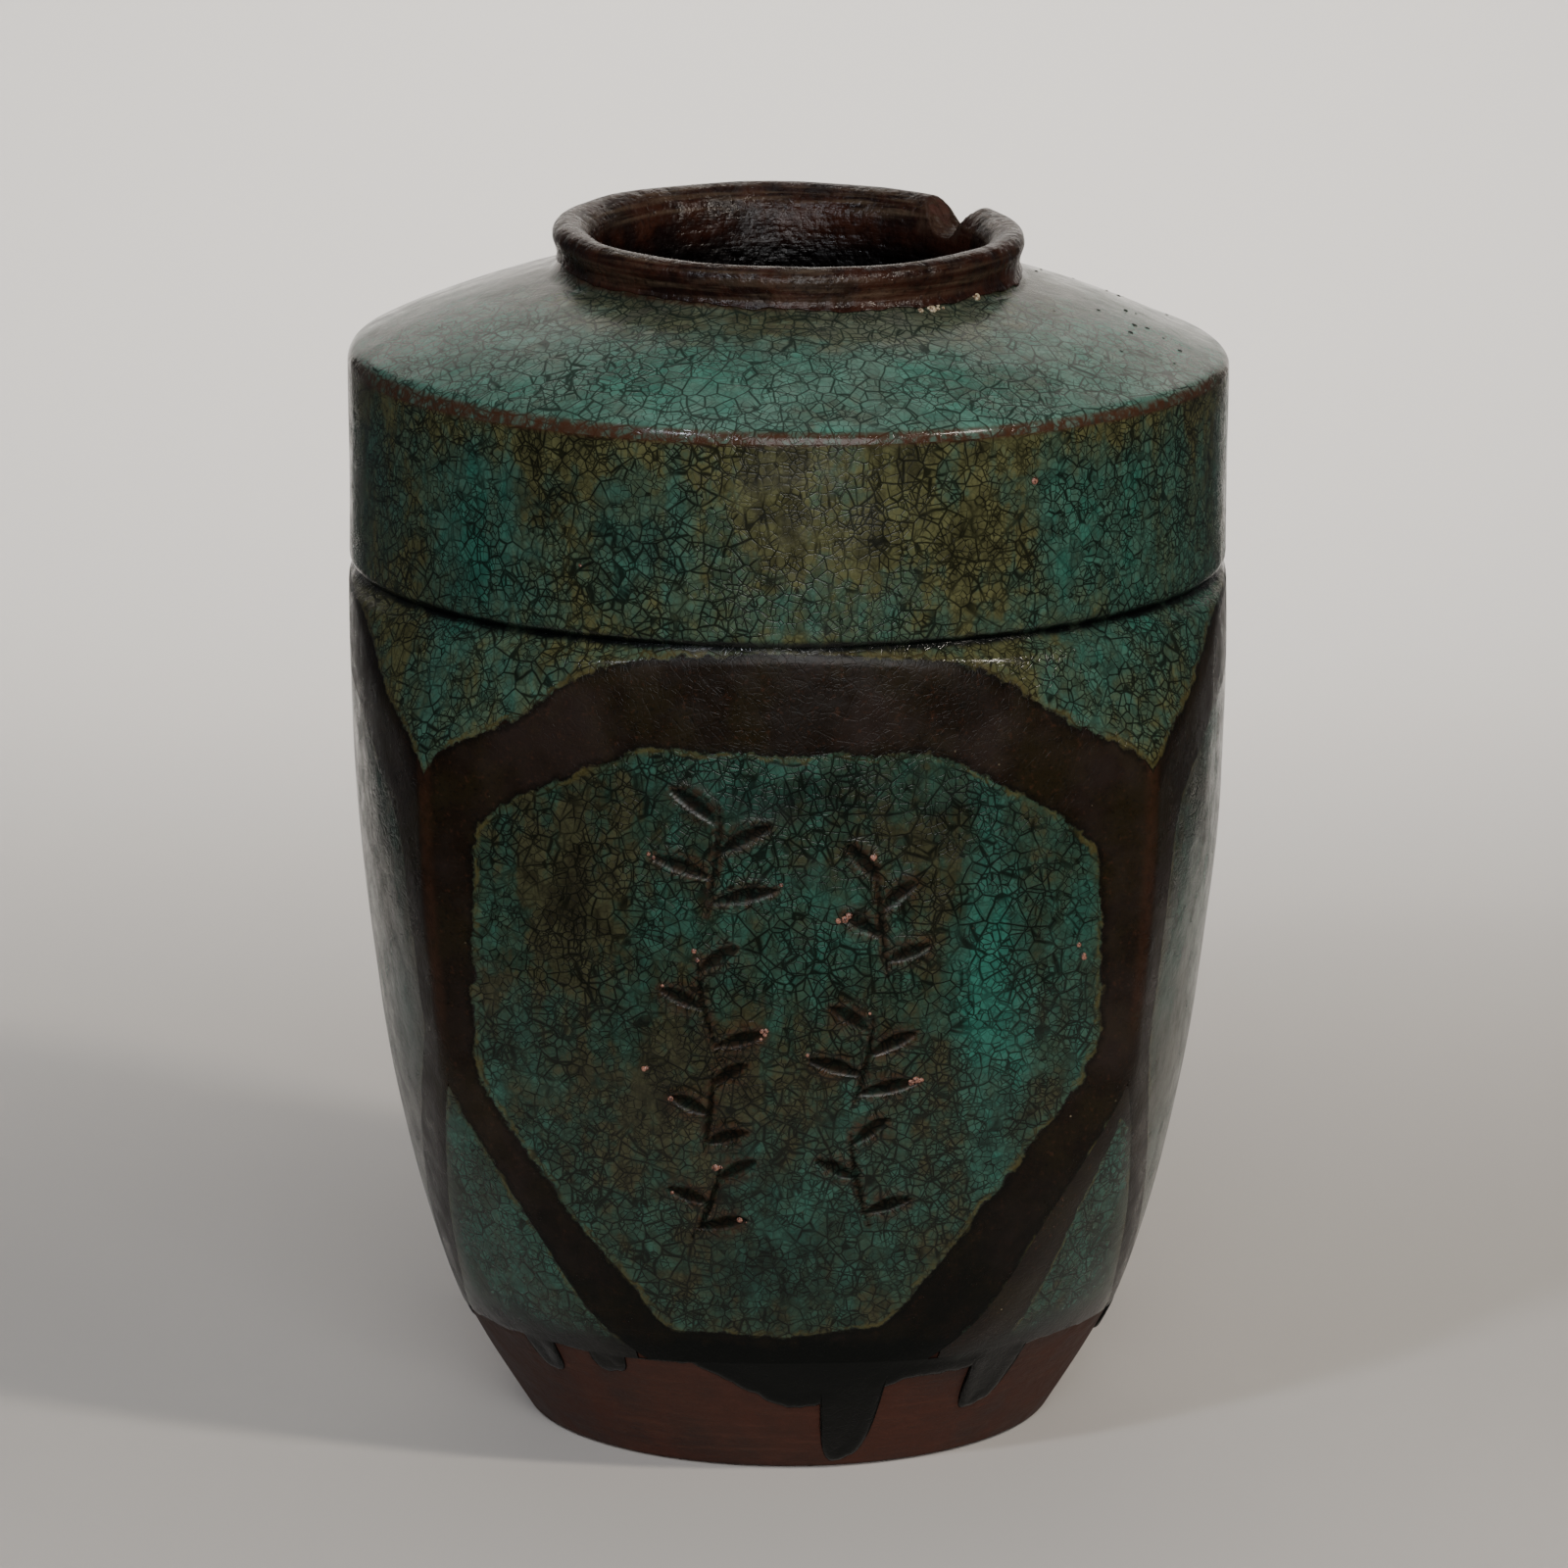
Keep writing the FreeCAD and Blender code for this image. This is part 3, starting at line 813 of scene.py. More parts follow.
@dataclass(frozen=True)
class Finishes:
    """The jar's materials, made once."""

    clay: bpy.types.Material = field(default_factory=lambda: FiredClay().build())
    slip: bpy.types.Material = field(default_factory=lambda: IronSlip("wiped_iron_slip").build())
    # The lining is darker than the slip on the rim: partly its own dark brown, partly painted shade for the
    # inside of the jar.
    lining: bpy.types.Material = field(
        default_factory=lambda: IronSlip(
            "poured_brown_lining", dark="#0b0504", rust="#1f0f09", gloss=0.12).build())
    glaze: bpy.types.Material = field(
        default_factory=lambda: CrackleGlaze("crackled_copper_green_glaze").build())
    # painted sheen: grey-green patches on the shoulder that stand for reflected light
    shoulder: bpy.types.Material = field(
        default_factory=lambda: CrackleGlaze(
            "crackled_grey_green_glaze", emerald="#3d6659", teal="#425f53", green="#465447", olive="#484b38",
            umber="#3b392e", crack="#1a241e", painted_sheen_share=0.25, sheen=0.17, rough=(0.09, 0.26),
            crack_sizes=((6.4, 0.36), (4.0, 0.26), (2.6, 0.15))).build())
    wall: bpy.types.Material = field(
        default_factory=lambda: CrackleGlaze(
            "crackled_olive_green_glaze", emerald="#2b584b", teal="#334e42", green="#3a4838", olive="#48482e",
            umber="#33321f").build())
    # painted sheen: grey-purple patches on the bands that stand for reflected light
    band: bpy.types.Material = field(
        default_factory=lambda: CrackleGlaze(
            "brushed_iron_band_under_glaze", painted_sheen="#352b28", painted_sheen_share=0.28, sheen=0.12,
            rough=(0.24, 0.4)).build())
    hem: bpy.types.Material = field(
        default_factory=lambda: CrackleGlaze("pooled_bottle_green_runs", sheen=0.18).build())
    grit: bpy.types.Material = field(
        default_factory=lambda: BurstGlass("glazed_kiln_grit", "#0a0b09", "#1d211a").build())
    blister: bpy.types.Material = field(
        default_factory=lambda: BurstGlass("burst_glaze_blisters", "#3a2018", "#8f6453").build())
    flake: bpy.types.Material = field(
        default_factory=lambda: BurstGlass("glassy_slip_flakes", "#5d4a36", "#b3a68c").build())


# --- the clay body -----------------------------------------------------------------------------------

@dataclass
class ClayBody:
    """The thrown and luted clay: foot, beaten wall, neck and the sections hidden under the glaze."""

    finishes: Finishes
    columns: int = 240
    floor: float = 15.0
    recess: float = 2.5
    land: float = 14.0
    spigot: float = 68.0

    def foot(self) -> None:
        """The foot slab: its worn edge, hollowed underside and the top that the wall stands on."""
        form, turn = FORM, around(self.columns)
        outer = [(form.foot_radius - 1.6, 0.0), (form.foot_radius - 0.5, 0.35)]
        heights = np.linspace(1.0, form.joint, 14)
        outer += [(float(form.barrel(np.array(z))), float(z)) for z in heights]
        ring = form.foot_radius - self.land
        profile = dense(np.array(
            [(0.0, self.recess), (ring - 2.0, self.recess), (ring, 0.0), (form.foot_radius - 1.6, 0.0)]), 5.0)
        profile = np.concatenate([profile, np.array(outer[1:])])
        back = np.full(len(profile), self.floor)
        inward = np.minimum(profile[:, 0], self.spigot)
        points = form.at(turn[None, :], profile[:, 1:2], profile[:, :1])
        behind = form.at(turn[None, :], back[:, None], inward[:, None])
        piece = shell("foot_slab_clay", points, behind, {}, True)
        merge_poles(piece)
        adopt(piece, self.finishes.clay, "bare_clay", "foot_slab")

    def wall(self) -> None:
        """The beaten wall, from the foot slab to the groove, in its two thrown sections."""
        form, turn = FORM, around(self.columns)
        waist = edge_of("belly_wall", 2, False)
        for node, low, high, rows in (
            ("base_wall", form.joint, waist, 60),
            ("belly_wall", waist, form.groove, 70),
        ):
            height = np.linspace(low, high, rows)[:, None]
            radius = form.clay(turn[None, :], height)
            inner = np.minimum(radius, form.body_radius + 8.0) - form.wall + 0.6
            inner = np.where(height < self.floor, np.minimum(inner, self.spigot), inner)
            outside, inside = form.at(turn, height, radius), form.at(turn, height, inner)
            piece = shell(f"{node}_clay", outside, inside, {}, True)
            adopt(piece, self.finishes.clay, "bare_clay", node)

    def shoulder(self) -> None:
        """The dome under its glaze, from the upper wall to the neck's seat."""
        outside = TurnedGlaze.dome()
        outside = outside[outside[:, 1] < 320.0] - np.array([FORM.glaze, 0.2])
        inside = outside - np.array([4.0, 6.5])
        turn = around(self.columns)[None, :]
        grids = [FORM.at(turn, grid[:, 1:2], grid[:, :1]) for grid in (outside, inside)]
        piece = shell("shoulder_clay", grids[0], grids[1], {}, True)
        adopt(piece, self.finishes.clay, "bare_clay", "shoulder")

    def hidden_sections(self) -> None:
        """Dresses the sections that lie wholly under glaze, and the lining inside."""
        for node, material in (
            ("upper_wall", self.finishes.clay),
            ("lower_lining", self.finishes.lining),
            ("upper_lining", self.finishes.lining),
        ):
            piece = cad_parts[node]
            piece.data.materials.clear()
            piece.data.materials.append(material)

    def build(self) -> None:
        """Builds the clay."""
        self.foot()
        self.wall()
        self.shoulder()
        self.hidden_sections()


# --- the mouth ---------------------------------------------------------------------------------------

@dataclass
class Mouth:
    """The neck and the everted lip, with the slip over it and the bite out of its back right."""

    finishes: Finishes
    columns: int = 480
    crest: float = field(default_factory=lambda: FORM.top)
    slip: float = 0.5
    slip_line: tuple[float, float] = (321.6, 323.6)
    slip_higher_left: float = 2.0
    lip_height: float = 12.0
    neck_outside: float = 62.2
    neck_middle: float = 57.0
    neck_inside: float = 53.4
    neck_foot: float = 305.0
    chip_turn: float = 128.5
    chip_left: float = 11.0
    chip_right: float = 12.5
    chip_depth: float = 9.4
    lip: tuple[tuple[float, float], ...] = (
        (63.8, -9.4), (64.0, -8.0), (64.6, -6.4), (65.3, -4.9), (65.5, -3.4), (65.1, -1.8), (64.0, -0.7),
        (62.2, 0.0), (60.2, -0.2), (58.2, -1.0), (56.4, -2.4), (55.0, -4.4), (54.0, -7.0), (53.3, -10.2),
        (52.8, -15.0), (52.5, -22.0), (52.5, -30.0))

    def bite(self, turn: np.ndarray) -> np.ndarray:
        """How deep the chip goes at each angle: a long slope on one side, a steep one on the other."""
        off = wrapped(np.degrees(turn) - self.chip_turn)
        rising = smoothstep(self.chip_left, 0.5, off) ** 0.8
        falling = smoothstep(-self.chip_right, -self.chip_right * 0.45, off)
        return self.chip_depth * rising * falling

    def cut_down(self, points: np.ndarray, turn: np.ndarray) -> np.ndarray:
        """Brings down what stands above the chip's floor, leaving it rough."""
        depth = self.bite(turn)
        level = self.crest - depth + 0.4 * ripple(points, 6.0, 31) * (depth > 0.5)
        height = np.minimum(points[..., 2], np.where(depth > 0.05, level, np.inf))
        return np.stack([points[..., 0], points[..., 1], height], axis=-1)

    def ring(self, name: str, outer: np.ndarray, inner: np.ndarray, marks: Marks) -> bpy.types.Object:
        """A coat round the mouth between two grids, with the chip cut out.

        Args:
            name: Piece name.
            outer: Grid of (radius, height) per row and column.
            inner: The grid behind it.
            marks: Values per grid point.

        Returns:
            The new object.
        """
        turn = around(self.columns)[None, :]
        grids = []
        for grid in (outer, inner):
            radius, height = grid[..., 0], grid[..., 1]
            points = np.stack([radius * np.sin(turn), -radius * np.cos(turn), height], axis=-1)
            high = smoothstep(self.crest - 15.0, self.crest - 6.0, height)
            swell = high * (0.30 * ripple(points, 40.0, 33) + 0.14 * ripple(points, 11.0, 34) - 0.45)
            points[..., :2] *= 1.0 + (swell / radius)[..., None]
            points[..., 2] += high * (0.25 * ripple(points * np.array([1.0, 1.0, 0.0]), 38.0, 35) - 0.3)
            grids.append(FORM.settle(self.cut_down(points, turn)))
        return shell(name, grids[0], grids[1], marks, True)

    def ragged(self, low: float, high: float, seed: int) -> np.ndarray:
        """Heights of an uneven line round the jar, between low and high."""
        ring = circle(60.0, around(self.columns))
        share = 0.5 + 0.34 * ripple(ring, 30.0, seed) + 0.2 * ripple(ring, 7.0, seed + 1)
        return low + (high - low) * np.clip(share, 0.0, 1.0)

    def section(self, inset: float, step: float) -> np.ndarray:
        """The lip's outline moved inwards, as even rows of (radius, height)."""
        profile = dense(np.array(self.lip), 0.25)
        for _ in range(24):
            profile[1:-1] = (profile[:-2] + 2.0 * profile[1:-1] + profile[2:]) / 4.0
        profile = dense(profile, step)
        way = np.gradient(profile, axis=0)
        normal = np.stack([way[:, 1], -way[:, 0]], axis=1) / np.linalg.norm(way, axis=1)[:, None]
        return profile - normal * inset + np.array([0.0, self.crest])

    def everywhere(self, profile: np.ndarray) -> np.ndarray:
        """The same profile at every column."""
        return np.repeat(profile[:, None, :], self.columns, axis=1)

    def clay(self) -> None:
        """The clay under the slip: the neck's wall, and the lip that was turned out over it."""
        waist = self.crest - self.lip_height
        profile = self.section(self.slip, 0.8)
        level = np.clip(profile[:, 1], None, self.crest - 4.0)
        middle = np.stack([np.full(len(profile), self.neck_middle), level], axis=1)
        lip = profile[:, 1] >= waist
        core = profile + (middle - profile) * 0.45
        piece = self.ring("rim_roll_clay", self.everywhere(profile[lip]), self.everywhere(core[lip]),
                          {"thin": np.ones((int(lip.sum()), self.columns))})
        adopt(piece, self.finishes.clay, "bare_clay", "rim_roll")
        height = np.linspace(self.neck_foot, waist, 24)
        outside = np.stack([np.full(24, self.neck_outside), height], axis=1)
        inside = np.stack([np.full(24, self.neck_inside), height], axis=1)
        piece = self.ring("neck_clay", self.everywhere(outside), self.everywhere(inside), {})
        adopt(piece, self.finishes.clay, "bare_clay", "neck")

    def coat(self) -> None:
        """The slip: from its ragged edge on the neck's foot, up over the lip and down inside."""
        turn = around(self.columns)[None, :]
        over = self.section(0.0, 0.55)
        start = over[0]
        line = self.ragged(*self.slip_line, 41)[None, :]
        line = line + self.slip_higher_left * smoothstep(0.1, -0.6, np.sin(turn))
        down = np.linspace(1.0, 0.0, 14)[:-1, None]
        height = start[1] + (line - start[1]) * down
        bead = 0.5 * np.sqrt(np.clip(1.0 - (1.0 - np.clip((height - line) / 0.9, 0.0, 1.0)) ** 2, 0.0, 1.0))
        skirt = np.stack([FORM.neck(height) + 0.05 + bead, height], axis=-1)
        outer = np.concatenate([skirt, self.everywhere(over)])
        under = self.everywhere(self.section(self.slip, 0.55))
        behind = np.concatenate([skirt - np.array([0.6, 0.0]), under])
        depth = np.broadcast_to(self.bite(turn), outer.shape[:2])
        radius, below = outer[..., 0], self.crest - outer[..., 1]
        marks = {
            "thin": smoothstep(0.6, 2.0, depth) * smoothstep(12.0, 7.0, below) * 0.8,
            "ash": smoothstep(12.0, 6.0, below) * smoothstep(53.4, 55.0, radius)
            * smoothstep(66.2, 64.6, radius),
            # painted shade: inside the neck, 9 to 19 mm below the crest
            "deep": smoothstep(55.0, 53.2, radius) * smoothstep(9.0, 19.0, below),
        }
        piece = self.ring("rim_slip_coat", outer, behind, marks)
        adopt(piece, self.finishes.slip, "iron_slip", "rim_slip")

    def build(self) -> None:
        """Builds the mouth."""
        self.clay()
        self.coat()


# --- where the glaze is greener, browner or deeper, and where a reflection and shade are painted --------

Blob = tuple[float, float, float, float, float]

# Each blob is (across, height, half width, half height, strength); across is an angle in degrees on
# the turned wall and millimetres on the front panel.
WALL_TONES: tuple[Blob, ...] = (
    (-45.0, 262.0, 7.0, 22.0, 0.40), (-30.0, 275.0, 9.0, 16.0, -0.16), (-17.0, 268.0, 9.0, 12.0, 0.20),
    (-2.0, 284.0, 10.0, 10.0, -0.26), (8.0, 272.0, 12.0, 12.0, -0.20), (3.0, 252.0, 10.0, 8.0, 0.16),
    (27.0, 266.0, 9.0, 16.0, -0.24), (38.0, 262.0, 6.0, 18.0, 0.16), (47.0, 268.0, 6.0, 20.0, 0.26),
    (-75.0, 268.0, 12.0, 20.0, -0.10), (72.0, 268.0, 12.0, 20.0, 0.12), (110.0, 262.0, 16.0, 18.0, 0.25),
    (150.0, 272.0, 18.0, 16.0, -0.2), (-150.0, 260.0, 16.0, 18.0, 0.25), (-112.0, 270.0, 14.0, 16.0, -0.2))
WALL_DEPTHS: tuple[Blob, ...] = (
    (-33.0, 280.0, 8.0, 12.0, 0.30), (-20.0, 266.0, 8.0, 16.0, 0.26), (-45.0, 252.0, 6.0, 10.0, 0.22),
    (-7.0, 262.0, 8.0, 12.0, 0.14), (12.0, 258.0, 9.0, 8.0, 0.16), (36.0, 270.0, 6.0, 12.0, 0.18),
    (170.0, 266.0, 20.0, 12.0, 0.25), (-130.0, 274.0, 12.0, 12.0, 0.25), (95.0, 276.0, 10.0, 10.0, 0.2))
# The first blob, tall and narrow 54 mm right of the front field's middle, is a painted reflection: a soft
# upright streak of lighter glaze. The other blobs are the glaze's own tone.
PANEL_TONES_AND_REFLECTION: tuple[Blob, ...] = (
    (54.0, 150.0, 9.0, 44.0, 0.55), (78.0, 160.0, 8.0, 26.0, 0.16), (38.0, 160.0, 10.0, 30.0, -0.10),
    (-60.0, 188.0, 22.0, 20.0, -0.26), (-66.0, 150.0, 18.0, 24.0, -0.18), (-24.0, 160.0, 22.0, 28.0, 0.14),
    (8.0, 170.0, 14.0, 36.0, 0.10), (-36.0, 110.0, 18.0, 22.0, -0.12), (2.0, 70.0, 22.0, 20.0, 0.06),
    (22.0, 92.0, 14.0, 16.0, 0.10), (-10.0, 128.0, 12.0, 14.0, -0.10), (30.0, 112.0, 14.0, 14.0, -0.08))
# The wide low blob, 62 mm high, is painted shade that darkens the bottom of each field; the wide blob at 200
# mm darkens the top of the field; the rest are darker patches in the glaze.
PANEL_DEPTHS_AND_SHADE: tuple[Blob, ...] = (
    (-6.0, 200.0, 44.0, 12.0, 0.40), (44.0, 190.0, 14.0, 14.0, 0.22), (-46.0, 128.0, 24.0, 26.0, 0.20),
    (-14.0, 150.0, 12.0, 18.0, 0.12), (-8.0, 98.0, 24.0, 26.0, 0.20), (26.0, 132.0, 14.0, 14.0, 0.14),
    (-2.0, 62.0, 34.0, 20.0, 0.36), (60.0, 106.0, 16.0, 12.0, 0.2))


def cloud(across: np.ndarray, height: np.ndarray, blobs: tuple[Blob, ...], base: float) -> np.ndarray:
    """A base value with soft blobs added to it.

    Args:
        across: Angles in degrees, or millimetres across a panel.
        height: Heights in millimetres.
        blobs: The blobs.
        base: Value away from all blobs.

    Returns:
        One value per point.
    """
    across, height = np.broadcast_arrays(wrapped(across), height)
    total = np.full(across.shape, base)
    for centre, level, wide, tall, strength in blobs:
        total += strength * np.exp(-((across - centre) / wide) ** 2 - ((height - level) / tall) ** 2)
    return total


def deep_foot(off: np.ndarray, height: np.ndarray) -> np.ndarray:
    """Pool mark where the glaze gathers at the foot of a side: 1 at the bottom, 0 by the ridges.

    Args:
        off: Angle from the side's middle in radians, without its sign.
        height: Height in millimetres.

    Returns:
        One value per point.
    """
    return smoothstep(52.0, 38.0, height) * smoothstep(math.radians(40.0), math.radians(24.0), off)


def plain_marks(shape: tuple[int, ...], **values: float) -> Marks:
    """Marks of even glaze with nothing on it, apart from the values given."""
    start = {label: 0.0 for label in ("pool", "thin", "stroke", "halo")} | values
    return {label: np.full(shape, value) for label, value in start.items()}


# --- glaze on the turned shoulder and upper wall -------------------------------------------------------

@dataclass
class TurnedGlaze:
    """The green glaze over the round shoulder and the upright band of wall below it."""

    finishes: Finishes
    columns: int = 540
    thickness: float = 0.6

    @staticmethod
    def dome() -> np.ndarray:
        """The glazed shoulder's profile as rows of (radius, height), from its edge to the neck."""
        radius = FORM.body_radius + FORM.glaze
        edge = arc((radius - FORM.edge_round, FORM.edge), FORM.edge_round, 0.0, 60.0, 14)
        start, end = edge[-1], np.array(FORM.dome_end)
        share = np.linspace(0.0, 1.0, 60)[1:]
        rise = start + (end - start) * share[:, None]
        rise[:, 1] += FORM.dome_bulge * share * (1.0 - share)
        height = np.linspace(320.9, 326.5, 12)
        throat = np.stack([FORM.neck(height), height], axis=1)
        return dense(np.concatenate([edge, rise, throat]), 0.8)

    def coat(self, name: str, profile: np.ndarray, marks: Marks, slot: str,
             material: bpy.types.Material) -> None:
        """Turns a profile into a closed coat and dresses it.

        Args:
            name: Node that the coat stands for.
            profile: Rows of (radius, height), outside upwards.
            marks: Values per row and column.
            slot: Material slot in the record.
            material: Its material.
        """
        turn = around(self.columns)[None, :]
        way = np.gradient(profile, axis=0)
        normal = np.stack([way[:, 1], -way[:, 0]], axis=1)
        normal /= np.linalg.norm(normal, axis=1)[:, None]
        under = profile - normal * self.thickness
        outer = FORM.at(turn, profile[:, 1:2], profile[:, :1])
        inner = FORM.at(turn, under[:, 1:2], under[:, :1])
        piece = shell(f"{name}_coat", outer, inner, marks, True)
        adopt(piece, material, slot, name)

    def upper_wall(self) -> None:
        """The upright band, from the groove to the shoulder's edge."""
        form = FORM
        radius = form.body_radius + form.glaze
        profile = dense(np.array([
            (radius - form.groove_depth, form.groove), (radius - form.groove_depth + 0.4, form.groove + 0.7),
            (radius - 0.15, form.groove + 1.7), (radius, form.groove + 3.0), (radius, form.edge)]), 0.7)
        marks = plain_marks((len(profile), self.columns), band=NO_BAND)
        height, turn = profile[:, 1:2], np.degrees(around(self.columns))[None, :]
        marks["pool"] += 0.85 * smoothstep(form.groove + 2.7, form.groove + 0.6, height)
        marks["thin"] += 0.8 * smoothstep(form.edge - 1.1, form.edge, height)
        marks["tone"] = cloud(turn, height, WALL_TONES, 0.52)
        marks["tone"] -= 0.22 * smoothstep(form.edge - 16.0, form.edge - 2.0, height)
        marks["pool"] += cloud(turn, height, WALL_DEPTHS, 0.0)
        self.coat("upper_wall_glaze", profile, marks, "green_glaze", self.finishes.wall)

    def shoulder(self) -> None:
        """The shallow dome from the rounded edge to the neck, and up under the slip."""
        form = FORM
        radius = form.body_radius + form.glaze
        profile = self.dome()
        marks = plain_marks((len(profile), self.columns), band=NO_BAND)
        run = np.linalg.norm(profile - np.array([radius, form.edge]), axis=1)[:, None]
        marks["thin"] += 0.95 * smoothstep(4.2, 2.6, run)
        near = smoothstep(96.0, 70.0, profile[:, :1])
        marks["tone"] = np.broadcast_to(0.80 - 0.52 * near, marks["pool"].shape)
        # painted shade: darker in the ring under the lip, where the shoulder meets the neck
        marks["pool"] += 0.34 * smoothstep(72.0, 65.0, profile[:, :1])
        marks["thin"] += 0.8 * smoothstep(321.5, 323.5, profile[:, 1:2])
        self.coat("shoulder_glaze", profile, marks, "green_glaze", self.finishes.shoulder)

    def build(self) -> None:
        """Builds both coats."""
        self.upper_wall()
        self.shoulder()


# --- glaze on the beaten sides ---------------------------------------------------------------------------

@dataclass(frozen=True)
class Sprig:
    """One small cut plant on the front: a stem with leaves on both sides, in millimetres."""

    across: float
    height: float
    width: float
    rise: float
    lean: float
    leaves: int

    def strokes(self) -> list[np.ndarray]:
        """Lines of (across, height) points, one per stroke: the stem, then its leaves."""
        share = np.linspace(0.0, 1.0, 24)
        base = np.array([self.across - self.lean * self.width, self.height - self.rise / 2.0])
        tip = np.array([self.across + self.lean * self.width, self.height + self.rise / 2.0])
        bow = np.array([self.lean * self.width * 0.8, 0.0])
        stem = base + (tip - base) * share[:, None] + bow * (4.0 * share * (1.0 - share))[:, None] * 0.4
        lines = [stem]
        for k in range(self.leaves):
            root = stem[int(3 + 16 * k / max(1, self.leaves - 1))]
            way = 1.0 if k % 2 == 0 else -1.0
            reach = self.width * (0.48 - 0.05 * k)
            lift = self.rise * (0.13 + 0.06 * k)
            x = root[0] + way * reach * share
            z = root[1] + lift * share * (1.5 - 0.5 * share)
            lines.append(np.stack([x, z], axis=1)[2:])
        return lines

    def ends(self) -> list[tuple[float, float]]:
        """Where the tool was lifted, as (across, height) pairs."""
        return [(float(line[-1][0]), float(line[-1][1])) for line in self.strokes()[:3]]


SPRIGS = (
    Sprig(-20.0, 183.0, 37.0, 31.0, 0.05, 4),
    Sprig(-21.5, 142.0, 27.0, 30.0, -0.12, 3),
    Sprig(-21.5, 112.0, 23.0, 24.0, 0.06, 3),
    Sprig(-22.0, 85.5, 26.0, 21.0, 0.14, 3),
    Sprig(25.0, 167.0, 24.0, 32.0, -0.06, 4),
    Sprig(20.0, 126.5, 33.0, 25.0, 0.08, 4),
    Sprig(19.0, 93.0, 25.0, 29.0, -0.10, 3),
)


